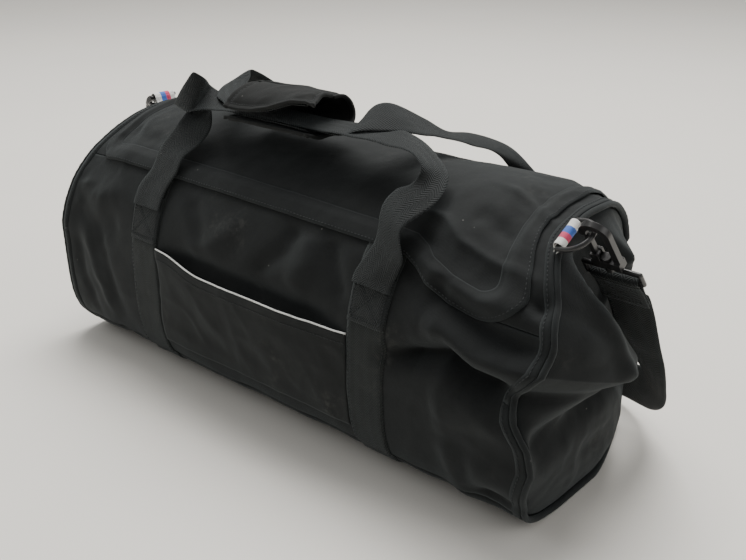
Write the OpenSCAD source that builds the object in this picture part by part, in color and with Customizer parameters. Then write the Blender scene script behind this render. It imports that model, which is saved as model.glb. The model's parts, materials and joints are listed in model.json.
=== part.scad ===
// Barrel duffel bag with a hinged zip lid, carry handles, grip wrap and a clip-on shoulder strap.
// Millimetres. +X runs along the bag to its right end, -Y is the front (pocket) side, +Z is up,
// and the origin is under the middle of the base.
// Section angles go round the body: 0 front, 90 top, 180 back, 270 base.

/* [Bag body] */
// Length between the two end seams, before the ends slump
bag_len = 554; // [540:2:580]
// Radius of the round upper half of the body
body_r = 122; // [118:1:126]
// Height of the centre of the round upper half
axis_h = 118; // [116:1:122]
// Squareness of the flattened lower half
base_squareness = 4.5; // [3.5:0.5:5]
// Thickness of the shell fabric
fabric_t = 1.4; // [1.2:0.1:1.6]
// Half length of the part with a constant section
straight_x = 195; // [190:1:200]
// Inward lean of the top of the left end
left_lean = 30; // [20:1:32]
// Drop of the top of the left end
left_drop = 6; // [0:1:8]
// Inward slump of the back of the right end
right_slump = 45; // [35:1:46]
// Inward slump of the top of the right end
right_lean = 16; // [10:1:18]
// Radius of the piping cord in the end seams
pipe_r = 2.6; // [2:0.1:3]

/* [Lid and zip] */
// Section angle of the front run of the zip
zip_angle = 43.5; // [43:0.5:44]
// Distance of the end runs of the zip from the middle
zip_x = 252; // [248:1:254]
// Radius of the zip line's corners
zip_corner_r = 24; // [20:1:28]
// Section angle of the seam that the lid hinges on
hinge_angle = 140; // [139:0.5:141]

/* [Webbing] */
// Width of the handle and shoulder webbing
web_w = 38; // [36:1:40]
// Thickness of the webbing
web_t = 1.8; // [1.4:0.1:2]
// Distance of each handle leg from the middle of the bag
leg_x = 139.5; // [136:0.5:142]
// Section angle of the top of the sewn handle ends
anchor_top = 29; // [28:0.5:30]
// Section angle of the bottom of the sewn handle ends
anchor_bottom = 9.5; // [8:0.5:12]

/* [Rings and hooks] */
// Inside width of each D-ring
ring_w = 25.2; // [25:0.1:26]
// Wire radius of each D-ring
wire_r = 1.9; // [1.7:0.1:1.9]
// Radial running clearance of the turning parts
clearance = 0.1; // [0.08:0.01:0.1]
// Tilt of the right ring's frame round the bag's length
ring_tilt = 29; // [27:1:31]
// Lean of the right hook away from straight down
hook_lean = 40; // [38:1:42]

/* [Hidden] */

cloth = [0.09, 0.09, 0.095];
webbing = [0.07, 0.07, 0.075];
plastic = [0.05, 0.05, 0.055];
binding_grey = [0.12, 0.12, 0.13];
tape_black = [0.06, 0.06, 0.065];
coil_black = [0.04, 0.04, 0.045];
patch_black = [0.1, 0.1, 0.1];
tab_white = [0.9, 0.9, 0.9];

// ---------- helpers ----------
function smooth(u) = u <= 0 ? 0 : u >= 1 ? 1 : u*u*(3 - 2*u);
function lerp(a, b, u) = a + (b - a)*u;
function unit(v) = v/norm(v);
function reverse(list) = [for (i = [len(list)-1:-1:0]) list[i]];
function quad(a, b, c, d) = [[a, b, c], [a, c, d]];

// Closed shell between point(u, v, 0) and point(u, v, 1), nu by nv cells
module shell(point, nu, nv) {
  points = [for (face = [0, 1], i = [0:nu], j = [0:nv]) point(i/nu, j/nv, face)];
  function id(i, j, face) = face*(nu + 1)*(nv + 1) + i*(nv + 1) + j;
  faces = [
    for (i = [0:nu-1]) for (j = [0:nv-1]) each concat(
      quad(id(i, j, 0), id(i+1, j, 0), id(i+1, j+1, 0), id(i, j+1, 0)),
      quad(id(i, j, 1), id(i, j+1, 1), id(i+1, j+1, 1), id(i+1, j, 1))),
    for (i = [0:nu-1]) each concat(
      quad(id(i, 0, 0), id(i, 0, 1), id(i+1, 0, 1), id(i+1, 0, 0)),
      quad(id(i, nv, 0), id(i+1, nv, 0), id(i+1, nv, 1), id(i, nv, 1))),
    for (j = [0:nv-1]) each concat(
      quad(id(0, j, 0), id(0, j+1, 0), id(0, j+1, 1), id(0, j, 1)),
      quad(id(nu, j, 0), id(nu, j, 1), id(nu, j+1, 1), id(nu, j+1, 0)))];
  polyhedron(points, faces, convexity = 6);
}

// Sweep through closed sections that all have the same number of points
module sweep(sections, loop = false) {
  n = len(sections[0]);
  count = len(sections);
  function id(i, j) = (i % count)*n + j % n;
  sides = [for (i = [0:(loop ? count-1 : count-2)]) for (j = [0:n-1])
    each quad(id(i, j), id(i, j+1), id(i+1, j+1), id(i+1, j))];
  ends = loop ? [] : [[for (j = [n-1:-1:0]) j], [for (j = [0:n-1]) (count-1)*n + j]];
  polyhedron([for (section = sections) each section], concat(sides, ends), convexity = 8);
}

// Catmull-Rom curve through a list of stations, with the given steps per span
function spline(a, b, c, d, u) =
  0.5*(2*b + (c - a)*u + (2*a - 5*b + 4*c - d)*u*u + (3*b - a - 3*c + d)*u*u*u);
function curve(stations, steps) = let (last = len(stations) - 1)
  [for (i = [0:last-1]) for (j = [0:(i == last-1 ? steps : steps-1)])
    spline(stations[max(0, i-1)], stations[i], stations[i+1], stations[min(last, i+2)], j/steps)];

// Flat webbing along stations of [centre point, width direction]
module strap(stations, steps) {
  path = curve(stations, steps);
  last = len(path) - 1;
  sweep([for (i = [0:last]) let (
      centre = path[i][0],
      along = unit(path[min(last, i+1)][0] - path[max(0, i-1)][0]),
      across = unit(path[i][1] - (path[i][1]*along)*along),
      wide = across*web_w/2,
      thick = cross(along, across)*web_t/2)
    [centre + wide + thick, centre - wide + thick, centre - wide - thick, centre + wide - thick]]);
}

// Round bars centred on the Y and X axes
module bar_y(x, z, r, w, fn = 48)
  translate([x, -w/2, z]) rotate([-90, 0, 0]) cylinder(r = r, h = w, $fn = fn);
module bar_x(z, r, w)
  translate([-w/2, 0, z]) rotate([0, 90, 0]) cylinder(r = r, h = w, $fn = 48);

// ---------- body surface ----------
half = bag_len/2;
band_out = 1.7;        // how far the bands stand proud of the panels
sag_x = [60, 100];     // the sag between the bands fades out between these distances
back_narrowing = 0.12; // share of its depth that the back loses at the right end

// Depth of the base below the centre: between the bands the cloth sags to the floor
function base_depth(x) =
  axis_h - band_out*smooth((abs(x) - sag_x[0])/(sag_x[1] - sag_x[0]));
function section_r(x, angle) = sin(angle) >= 0 ? body_r
  : pow(pow(abs(cos(angle))/body_r, base_squareness)
      + pow(-sin(angle)/(base_depth(x) + 0.6), base_squareness), -1/base_squareness);

// Point of the body's outer surface, moved outward by out
function skin(x, angle, out = 0) = let (
    r = section_r(x, angle) + out,
    left = smooth((-x - straight_x)/(half - straight_x)),
    right = smooth((x - straight_x)/(half - straight_x)),
    up = max(0, sin(angle)),
    back = max(0, -cos(angle)),
    slump = right_lean*up*up + right_slump*pow(back, 1.5),
    y = -r*cos(angle),
    z = max(r*sin(angle), -base_depth(x) - out))
  [x + left_lean*left*pow(up, 1.5) - right*slump,
    y > 0 ? y*(1 - back_narrowing*right) : y,
    axis_h + z - left_drop*left*up];

// Panel edges
base_front = -42;            // section angles of the base panel's edges
base_back = 180 - base_front;
seam_gap = 0.2;              // degrees between a panel edge and its seam
seam_x = half - 3.4;         // ends of the panels
zip_gap = 4.2;               // half gap between the panel edges at the zip
deg_per_mm = 180/(PI*body_r);
front_top = zip_angle - zip_gap*deg_per_mm;
row_bias = 1.25;             // crowds the rows of the yokes and lid towards the front

// x stations of the body panels: fine where the ends change shape
end_cells = 6;
end_step = (seam_x - straight_x)/end_cells;
x_stations = concat(
  [for (i = [0:end_cells]) -seam_x + i*end_step],
  [-100, -80, -60, 60, 80, 100],
  [for (i = [end_cells:-1:0]) seam_x - i*end_step]);

// Half length, at a section angle, of the zip line moved outward by offset
function zip_reach(angle, offset) = let (
    rise = (angle - zip_angle)/deg_per_mm + offset,
    r = zip_corner_r + offset,
    inset = rise >= r ? 0 : rise <= 0 ? r : r - sqrt(r*r - (r - rise)*(r - rise)))
  zip_x + offset - inset;

// Fabric thickness at a distance from a zip edge: thicker up to flat, thinning over fade
function hem_t(distance, flat, fade) = fabric_t + 2*(1 - smooth((distance - flat)/fade));

// ---------- sewn body ----------
module panel(from, to, rows, hemmed = false) {
  cells = len(x_stations) - 1;
  shell(function(u, v, face) let (
      angle = lerp(from, to, v),
      depth = hemmed ? hem_t(to - angle, 4, 4) : fabric_t)
    skin(x_stations[round(u*cells)], angle, face == 0 ? 0 : -depth), cells, rows);
}
module front_panel() color(cloth) panel(base_front + seam_gap, front_top, 20, hemmed = true);
module back_panel() color(cloth) panel(hinge_angle + 0.4, base_back - seam_gap, 20);
module base_panel() color(cloth) panel(base_back + seam_gap, 360 + base_front - seam_gap, 22);

// In the paired pieces below, side is -1 for left and 1 for right

// Strip of shell between the zip's end run and the end seam
module yoke(side) color(cloth)
  shell(function(u, v, face) let (
      angle = lerp(front_top + 0.3, hinge_angle - 0.1, pow(v, row_bias)),
      inner = zip_reach(angle, zip_gap),
      x = lerp(inner, seam_x, side > 0 ? u : 1 - u))
    skin(side*x, angle, face == 0 ? 0 : -hem_t(x - inner, 5, 3)), 5, 30);
module left_yoke() yoke(-1);
module right_yoke() yoke(1);

// Cord round the end seam
module piping(side) color(cloth)
  sweep([for (angle = [0:5:355]) [for (j = [0:7]) let (turn = j*45*side)
    skin(side*half, angle, pipe_r*(cos(turn) - 1)) + [pipe_r*sin(turn), 0, 0]]], loop = true);
module left_piping() piping(-1);
module right_piping() piping(1);

// Round end, sewn inside the piping, built as rings round its middle
module end_cap(side, middle) {
  n = 60;
  m = 5;
  half_t = [0.7, 0, 0];
  function point(i, j, face) = middle + (face == 0 ? half_t : -half_t)
    + (skin(side*half, j*360/n, -2*pipe_r - 0.5) - middle)*i/m;
  function id(i, j, face) = face*m*n + (i - 1)*n + j % n;
  hub = 2*m*n;
  points = concat(
    [for (face = [0, 1], i = [1:m], j = [0:n-1]) point(i, j, face)],
    [middle + half_t, middle - half_t]);
  faces = [
    for (j = [0:n-1]) each concat(
      [[hub, id(1, j, 0), id(1, j+1, 0)], [hub + 1, id(1, j+1, 1), id(1, j, 1)]],
      quad(id(m, j, 0), id(m, j, 1), id(m, j+1, 1), id(m, j+1, 0))),
    for (i = [1:m-1]) for (j = [0:n-1]) each concat(
      quad(id(i, j, 0), id(i+1, j, 0), id(i+1, j+1, 0), id(i, j+1, 0)),
      quad(id(i, j, 1), id(i, j+1, 1), id(i+1, j+1, 1), id(i+1, j, 1)))];
  color(cloth) polyhedron(points, faces, convexity = 4);
}
module left_end_cap() end_cap(-1, [-250, 0, 115]);
module right_end_cap() end_cap(1, [258, -6, 112]);

// Tape that binds the raw edges of the end seam on the inside
binding_section = [[-10, -3.8], [-10, -4.8], [-4.2, -4.8], [-4.2, -3.8]]; // [past seam, outward]
module seam_binding(side) color(binding_grey)
  sweep([for (angle = [0:5:355]) [for (corner = binding_section)
    skin(side*(half + corner.x), angle, corner.y)]], loop = true);
module left_seam_binding() seam_binding(-1);
module right_seam_binding() seam_binding(1);

// Webbing laid on the body at one pair of handle legs
module laid_webbing(side, from, to, outer, inner, rows) color(webbing)
  shell(function(u, v, face)
    skin(side*leg_x + (u - 0.5)*web_w, lerp(from, to, v), face == 0 ? outer : inner), 1, rows);

// Reinforcing band that runs from the lid seam down the back, under the base and up the front
module band(side)
  laid_webbing(side, hinge_angle + 1.2, 360 + front_top - 1, band_out, 0.3, 72);
module left_band() band(-1);
module right_band() band(1);

// Handle ends sewn flat on the bands
anchor_out = 2; // inner face of the handle ends, out from the body
module anchors(from, to)
  for (side = [-1, 1]) laid_webbing(side, from, to, anchor_out + web_t, anchor_out, 5);
module front_handle_anchors() color(webbing) anchors(anchor_bottom, anchor_top);
module back_handle_anchors() color(webbing) anchors(180 - anchor_top, 180 - anchor_bottom);

// Open-topped front pocket between the bands
pocket_x = leg_x - web_w/2 - 0.6;
pocket_bottom = -33; // section angle
pocket_t = 1.1;
function mouth_angle(x) = 3 + 4.5*smooth((-x - 50)/68);
function pocket_puff(x, v) = 0.4 + 5*pow(max(0, cos(90*x/pocket_x)), 0.7)*smooth(v*1.3);
module front_pocket() color(cloth)
  shell(function(u, v, face) let (x = lerp(-pocket_x, pocket_x, u))
    skin(x, lerp(pocket_bottom, mouth_angle(x), v),
      pocket_puff(x, v) + (face == 0 ? pocket_t : 0)), 16, 9);
module pocket_piping() color([0.9, 0.9, 0.88])
  sweep([for (i = [0:24]) let (x = lerp(-pocket_x, pocket_x, i/24))
    [for (turn = [0:60:300]) skin(x, mouth_angle(x) + 0.75 - 0.55*sin(turn),
      pocket_puff(x, 1) + pocket_t/2 + 0.8*cos(turn))]]);

// ---------- zip ----------
zip_end = hinge_angle - 3;
corner_angle = zip_angle + zip_corner_r*deg_per_mm;
front_x = zip_x - zip_corner_r; // end of the straight front run

// Zip line rows: [x, section angle, outward normal along x, outward normal round the body]
function zip_side(side) = concat(
  [for (i = [0:20]) [side*zip_x, lerp(zip_end, corner_angle, i/20), side, 0]],
  [for (a = [15:15:75]) [side*(front_x + zip_corner_r*cos(a)),
    corner_angle - zip_corner_r*deg_per_mm*sin(a), side*cos(a), -sin(a)]]);
front_stations = [8, 11, 14, 17, 20, 26, straight_x, front_x];
zip_line = concat(
  zip_side(-1),
  [for (x = concat(-reverse(front_stations), front_stations)) [x, zip_angle, 0, -1]],
  reverse(zip_side(1)));

// Strip along the zip line, across from one offset to the other (positive is the body side)
module zip_strip(from, to, low, high) {
  function point(row, offset, out) =
    skin(row[0] + row[2]*offset, row[1] + row[3]*offset*deg_per_mm, out);
  sweep([for (row = zip_line) [
    point(row, from(row), high), point(row, to(row), high),
    point(row, to(row), low), point(row, from(row), low)]]);
}

// Half gap between the two coils, which part between the sliders
function parting(row) = 0.2 + 1.4*(row[3] == -1 ? smooth((19 - abs(row[0]))/7) : 0);
coil_w = 1.6;
tape_inset = 1.75; // tape edge from the parting
tape_reach = 13;   // far edge of the tapes from the zip line
module body_zip_tape() color(tape_black)
  zip_strip(function(row) parting(row) + tape_inset, function(row) tape_reach, -4.4, -3.6);
module lid_zip_tape() color(tape_black)
  zip_strip(function(row) -tape_reach, function(row) -parting(row) - tape_inset, -4.4, -3.6);
module body_zip_coil() color(coil_black)
  zip_strip(function(row) parting(row), function(row) parting(row) + coil_w, -5, -3.1);
module lid_zip_coil() color(coil_black)
  zip_strip(function(row) -parting(row) - coil_w, function(row) -parting(row), -5, -3.1);

// Frame on the body surface at a slider: x along the bag, z outward
slider_x = 10;
module at_slider(side) translate([side*slider_x, 0, axis_h]) rotate([90 - zip_angle, 0, 0])
  translate([0, 0, body_r]) children();

slider_len = 11;
plate_t = 1.3;
bail_r = 0.7;
bail_z = 0.2;
module slider_plate(w, z) translate([-slider_len/2, -w/2, z]) cube([slider_len, w, plate_t]);
module slider(side) color([0.1, 0.1, 0.1]) at_slider(side) {
  slider_plate(8, -2.8);
  slider_plate(9.2, -6.6);
  // Post joining the plates
  translate([-side*3.6, 0, -5.5]) cylinder(r = 1.1, h = 3, $fn = 32);
  // Lugs that carry the bail
  for (q = [-1, 1]) translate([-1, q*2.4 - 0.5, -1.7]) cube([2, 1, 2.5]);
  bar_y(0, bail_z, bail_r, 4.8, fn = 32);
}

puller_len = 22;
puller_w = 3.2;
puller_t = 1.2;
module puller(side) color([0.08, 0.08, 0.08]) at_slider(side) difference() {
  union() {
    bar_y(0, bail_z, 1.4, puller_w, fn = 32);
    translate([side > 0 ? 0 : -puller_len, -puller_w/2, bail_z - puller_t/2])
      cube([puller_len, puller_w, puller_t]);
  }
  bar_y(0, bail_z, bail_r + clearance, 4, fn = 32);
}
module left_slider() slider(-1);
module right_slider() slider(1);
module left_puller() puller(-1);
module right_puller() puller(1);

// ---------- lid ----------
module top_lid() color(cloth)
  shell(function(u, v, face) let (
      front = zip_angle + zip_gap*deg_per_mm,
      angle = lerp(front, hinge_angle - 0.4, pow(v, row_bias)),
      reach = zip_reach(angle, -zip_gap),
      knee = min(straight_x, reach - 1), // columns are wide inside this, fine beyond
      way = abs(2*u - 1),
      x = sign(u - 0.5)*(way < 0.19 ? knee*way*5.2 : lerp(knee, reach, (way - 0.17)/0.83)),
      edge = min(reach - abs(x), (angle - front)/deg_per_mm))
    skin(x, angle, face == 0 ? 0 : -hem_t(edge, 6, 3)), 12, 30);

// Covering flap sewn on the lid, hanging over the zip on three sides
module storm_flap() color(cloth)
  zip_strip(function(row) -12.5, function(row) 8, 2.2, 3.4);

// ---------- handles ----------
// Where the handles leave their sewn ends
leave_r = body_r + anchor_out + web_t/2;
leave_y = leave_r*cos(anchor_top + 0.5);
leave_z = axis_h + leave_r*sin(anchor_top + 0.5);
grip_x0 = -74;
grip_x1 = 48;
grip_mid = (grip_x0 + grip_x1)/2;

// Strap stations, here and below: [centre point, width direction]
front_stations_handle = [
  [[-leg_x, -leave_y, leave_z], [1, 0, 0]],
  [[-leg_x + 1, -leave_y + 9, leave_z + 20], [1, 0, 0]],
  [[-133, -90, 218], [0.9, 0.3, 0]], [[-125, -82, 248], [0.8, 0.5, 0]],
  [[-120, -76, 276], [0.6, 0.8, 0.1]], [[-112, -68, 289], [0.3, 0.9, 0.3]],
  [[-100, -60, 283], [0.1, 1, 0.2]], [[-88, -50, 271], [0, 1, 0.1]],
  [[grip_x0, -43, 263], [0, 1, 0]], [[grip_mid, -43, 261.2], [0, 1, 0]],
  [[grip_x1, -43, 262.2], [0, 1, 0]], [[78, -44, 267], [0, 1, 0]],
  [[106, -44, 268], [-0.1, 1, -0.1]], [[130, -44, 262], [-0.5, 0.9, -0.3]],
  [[145, -48, 251], [-0.8, 0.6, -0.3]], [[151, -60, 238], [-1, 0.3, -0.1]],
  [[148, -78, 221.5], [-1, 0, 0]], [[leg_x, -97, 202], [-1, 0, 0]],
  [[leg_x, -leave_y, leave_z], [-1, 0, 0]]];
back_stations_handle = [
  [[-leg_x, leave_y, leave_z], [1, 0, 0]],
  [[-leg_x, leave_y - 10, leave_z + 20], [1, 0, 0]],
  [[-143, 82, 232], [1, 0, 0]], [[-146, 50, 254], [0.9, 0.2, 0]],
  [[-140, 22, 268], [0.8, 0.6, 0]], [[-125, 0, 276], [0.5, 0.9, 0]],
  [[-108, -20, 272], [0.3, 1, 0]], [[-91, -34, 262.8], [0.1, 1, 0]],
  [[grip_x0, -39, 258.9], [0, 1, 0]], [[grip_mid, -39, 258.8], [0, 1, 0]],
  [[grip_x1, -39, 258.9], [0, 1, 0]], [[64, -33, 259], [-0.3, 1, 0]],
  [[76, -14, 259], [-0.8, 0.7, 0]], [[84, 12, 257], [-1, 0.3, 0]],
  [[95, 42, 249], [-1, 0.3, 0]], [[112, 70, 236], [-1, 0.3, 0]],
  [[128, 90, 217], [-1, 0.1, 0]],
  [[leg_x - 1, leave_y - 8, leave_z + 19], [-1, 0, 0]],
  [[leg_x, leave_y, leave_z], [-1, 0, 0]]];
module front_handle() color(webbing) strap(front_stations_handle, 3);
module back_handle() color(webbing) strap(back_stations_handle, 3);

// Padded grip wrap: a C in section, open towards the front
wrap_y = -20; // centre of its back curve
wrap_z = 268;
wrap_r = 13;
wrap_t = 2.4;
wrap_front = -72;
wrap_lip = wrap_y - 9; // front edge of its upper side
flap_w = 42;
flap_front = wrap_lip - 0.3 - flap_w;
patch_t = 1.1;

// Extrudes a [y, z] profile along the grip, stopping short of each end by inset
module along_grip(inset) translate([grip_x0 + inset, 0, 0]) rotate([90, 0, 90])
  linear_extrude(height = grip_x1 - grip_x0 - 2*inset) children();
function wrap_arc(r) = [for (a = [-90:6:90]) [wrap_y + r*cos(a), wrap_z + r*sin(a)]];

module wrap_shell() color(cloth) along_grip(4) polygon(concat(
  [[wrap_front, wrap_z - wrap_r]],
  wrap_arc(wrap_r),
  [[wrap_lip, wrap_z + wrap_r], [wrap_lip, wrap_z + wrap_r - wrap_t]],
  reverse(wrap_arc(wrap_r - wrap_t)),
  [[wrap_front, wrap_z - wrap_r + wrap_t]]));
module wrap_flap() color(cloth) along_grip(4)
  translate([flap_front, wrap_z + wrap_r - wrap_t]) square([flap_w, wrap_t]);
module wrap_loop_patch() color(patch_black) along_grip(10)
  translate([wrap_front + 0.5, wrap_z - wrap_r + wrap_t + 0.1]) square([11.5, patch_t]);
module wrap_hook_patch() color(patch_black) along_grip(10)
  translate([flap_front + 0.5, wrap_z + wrap_r - wrap_t - 0.1 - patch_t]) square([12, patch_t]);

// ---------- rings ----------
right_ring = [273, -60.9, 227.9]; // middles of the rings' straight bars
left_ring = [-259.5, 2, 237.4];
ring_half = ring_w/2 + wire_r;
ring_arm = 6;     // straight part of each ring's sides
right_rise = 12;  // angle of each ring above level
left_rise = -35;
module at_right() translate(right_ring) rotate([ring_tilt, 0, 0]) children();
module at_left() translate(left_ring) rotate([0, 0, 180]) children();
module at_right_ring() at_right() rotate([0, -right_rise, 0]) children();
module at_left_ring() at_left() rotate([0, -left_rise, 0]) children();

// Sleeve round the ring's straight bar, with a tongue towards the bag
tab_w = 24.8;
tab_r = 3.1;
module tab() difference() {
  union() {
    bar_y(0, 0, tab_r, tab_w);
    translate([-11.5, -tab_w/2, -tab_r]) cube([11.5, tab_w, 1.5]);
  }
  bar_y(0, 0, wire_r + clearance, 26);
}
module right_ring_tab() color(tab_white) at_right() tab();
module left_ring_tab() color(tab_white) at_left() tab();

module d_ring() {
  bar_y(0, 0, wire_r, 2*ring_half);
  for (s = [-1, 1]) translate([0, s*ring_half, 0]) {
    sphere(r = wire_r, $fn = 48);
    rotate([0, 90, 0]) cylinder(r = wire_r, h = ring_arm, $fn = 48);
  }
  translate([ring_arm, 0, 0]) rotate([0, 0, -90])
    rotate_extrude(angle = 180, $fn = 96) translate([ring_half, 0]) circle(r = wire_r, $fn = 48);
}
module right_d_ring() color(plastic) at_right_ring() d_ring();
module left_d_ring() color(plastic) at_left_ring() d_ring();

// ---------- hooks ----------
// Each hook hangs on its ring's far end; the right one is shifted round the curve
shift_angle = 20;
right_reach = ring_arm + ring_half*cos(shift_angle);
right_shift = ring_half*sin(shift_angle);
left_reach = ring_arm + ring_half;
module at_right_hook() at_right_ring() translate([right_reach, right_shift, 0])
  rotate([0, right_rise, 0]) rotate([hook_lean - ring_tilt, 0, 0]) children();
module at_left_hook() at_left_ring() translate([left_reach, 0, 0])
  rotate([0, left_rise, 0]) children();
module at_left_loop() at_left_hook() rotate([0, 0, 90]) children();

// Snap hook, axis along -z, spine on +x, gate on -x; the ring's wire passes through the origin
bow_z = -2.2;       // centre of the curved top
bow_r = 9;          // its centre line
bow_half = 2.6;     // half its width in the hook's plane
bow_t = 4.6;
pivot = [-6.5, -29]; // gate pivot [x, z]
pivot_r = 1.2;
block_top = -33;    // swivel block
block_h = 8;
block_bottom = block_top - block_h;
block_x = -11;
block_w = 8.4;
stem_r = 2.4;

module hook_body() difference() {
  union() {
    translate([0, bow_t/2, bow_z]) rotate([90, 0, 0]) rotate_extrude(angle = 193, $fn = 96)
      translate([bow_r - bow_half, 0]) square([2*bow_half, bow_t]);
    translate([bow_r - bow_half, -bow_t/2, block_top])
      cube([2*bow_half, bow_t, bow_z - block_top + 0.01]);
    translate([block_x, -block_w/2, block_bottom])
      cube([bow_r + bow_half - block_x, block_w, block_h]);
    // Cheeks either side of the gate
    for (q = [-1, 1]) translate([pivot.x - 3.2, q*3.2 - 1, block_top - 0.01])
      cube([6.4, 2, pivot.y - block_top + 3]);
  }
  translate([0, 0, block_bottom - 1])
    cylinder(r = stem_r + clearance, h = block_h + 2, $fn = 48);
  bar_y(pivot.x, pivot.y, pivot_r, 12);
}

module gate_body() {
  bar_y(pivot.x, pivot.y, 2.4, 4);
  translate([pivot.x - 2.3, -2, pivot.y]) cube([3.6, 4, -pivot.y - 5.4]);
  bar_y(pivot.x, pivot.y, pivot_r - clearance, block_w);
}

// Stem through the block, with a rectangular loop below for the webbing
loop_top = -46;
loop_bottom = -58;
loop_x = 22.3;
loop_r = 2;
module swivel_body() {
  translate([0, 0, block_top + 0.2]) cylinder(r = 3.7, h = 2, $fn = 48);
  translate([0, 0, block_bottom - 5]) cylinder(r = stem_r, h = block_h + 5.3, $fn = 48);
  translate([0, 0, block_bottom - 5.2]) cylinder(r = 4.4, h = 5, $fn = 48);
  for (z = [loop_top, loop_bottom]) bar_x(z, loop_r, 2*loop_x);
  for (s = [-1, 1]) translate([s*loop_x, 0, 0]) {
    for (z = [loop_top, loop_bottom]) translate([0, 0, z]) sphere(r = loop_r, $fn = 48);
    translate([0, 0, loop_bottom]) cylinder(r = loop_r, h = loop_top - loop_bottom, $fn = 48);
  }
}

// Webbing end folded round the loop's lower bar and sewn flat
fold_len = 30;
module strap_end() difference() {
  union() {
    bar_x(loop_bottom, loop_r + 0.1 + web_t, web_w);
    translate([-web_w/2, -web_t, loop_bottom - fold_len]) cube([web_w, 2*web_t, fold_len]);
  }
  bar_x(loop_bottom, loop_r + clearance, web_w + 2);
}
module right_hook() color(plastic) at_right_hook() hook_body();
module left_hook() color(plastic) at_left_hook() hook_body();
module right_gate() color(plastic) at_right_hook() gate_body();
module left_gate() color(plastic) at_left_hook() gate_body();
module right_swivel_loop() color(plastic) at_right_hook() swivel_body();
module left_swivel_loop() color(plastic) at_left_loop() swivel_body();
module right_strap_end() color(webbing) at_right_hook() strap_end();
module left_strap_end() color(webbing) at_left_loop() strap_end();

// ---------- shoulder strap ----------
function turn_x(a, v) = [v.x, v.y*cos(a) - v.z*sin(a), v.y*sin(a) + v.z*cos(a)];

// Starts of the strap, below each hook along its axis
start_drop = fold_len + 4.5 - loop_bottom;
right_axis = turn_x(hook_lean, [0, 0, -1]);
right_start = right_ring + right_axis*start_drop
  + turn_x(ring_tilt, [right_reach*cos(right_rise), right_shift, right_reach*sin(right_rise)]);
left_start = left_ring
  + [-left_reach*cos(left_rise), 0, left_reach*sin(left_rise) - start_drop];

// The strap's run along the floor behind the bag
run_y = 135;
run_z = 24;
shoulder_stations = [
  [right_start, [-1, 0, 0]], [right_start + right_axis*14, [-1, 0, 0]],
  [[294, 24, 126], [-1, 0.2, 0]], [[294, 46, 94], [-0.9, 0.3, 0.4]],
  [[286, 78, 58], [-0.5, 0.3, 0.9]], [[266, 108, 36], [-0.1, 0, 1]],
  [[228, 131, 26], [0, 0, 1]],
  for (x = [180, 60, -60, -180]) [[x, run_y, run_z], [0, 0, 1]],
  [[-236, run_y + 1, run_z + 1], [0, 0, 1]]];
tail_stations = [
  [left_start, [0, 1, 0]], [left_start + [0, 0, -12], [0, 1, 0]],
  [[-288, 16, 104], [0, 0.9, 0.3]], [[-293, 46, 68], [0, 0.8, 0.6]],
  [[-293, 82, 40], [0, 0.4, 0.9]], [[-287, 114, 29], [0, 0, 1]],
  [[-262, 131, 26], [0, 0, 1]], [[-238.5, run_y + 1, run_z + 1], [0, 0, 1]]];
module shoulder_strap() color(webbing) strap(shoulder_stations, 4);
module left_strap_tail() color(webbing) strap(tail_stations, 4);

// Sliding adjuster on the back run: two outer bars and one inner bar between side rails
adjuster_x = 110;
rail = [19.6, 9.6, 2.5];
module strap_adjuster() color(plastic) translate([adjuster_x, run_y, run_z]) {
  for (bar = [[-8, 3], [8, 3], [0, -3]]) translate([bar.x, bar.y, -web_w/2 - 2])
    cylinder(r = 1.8, h = web_w + 4, $fn = 48);
  for (z = [web_w/2 + 0.5, -web_w/2 - 0.5 - rail.z])
    translate([-rail.x/2, -rail.y/2, z]) cube(rail);
}

front_panel();
back_panel();
base_panel();
left_yoke();
right_yoke();
left_end_cap();
right_end_cap();
left_piping();
right_piping();
left_seam_binding();
right_seam_binding();
left_band();
right_band();
front_pocket();
pocket_piping();
front_handle_anchors();
back_handle_anchors();
left_ring_tab();
right_ring_tab();
body_zip_tape();
body_zip_coil();
top_lid();
storm_flap();
lid_zip_tape();
lid_zip_coil();
left_slider();
right_slider();
left_puller();
right_puller();
front_handle();
back_handle();
wrap_shell();
wrap_loop_patch();
wrap_flap();
wrap_hook_patch();
left_d_ring();
right_d_ring();
left_hook();
right_hook();
left_gate();
right_gate();
left_swivel_loop();
right_swivel_loop();
left_strap_end();
right_strap_end();
left_strap_tail();
shoulder_strap();
strap_adjuster();
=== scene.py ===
"""Slumped black duffel bag with two webbing handles, a padded grip wrap and a shoulder strap.

It lies on the floor, z = 0: X runs along the bag (right end at +X), the front faces -Y and
the back +Y. Shapes are worked out in mm and built in metres. A place on the body is
(x, angle): 0 degrees is the front, 90 the top, 180 the back and 270 the floor.
"""
import json
import math

import bmesh
import bpy
import numpy as np
from mathutils import Matrix, Vector

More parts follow.
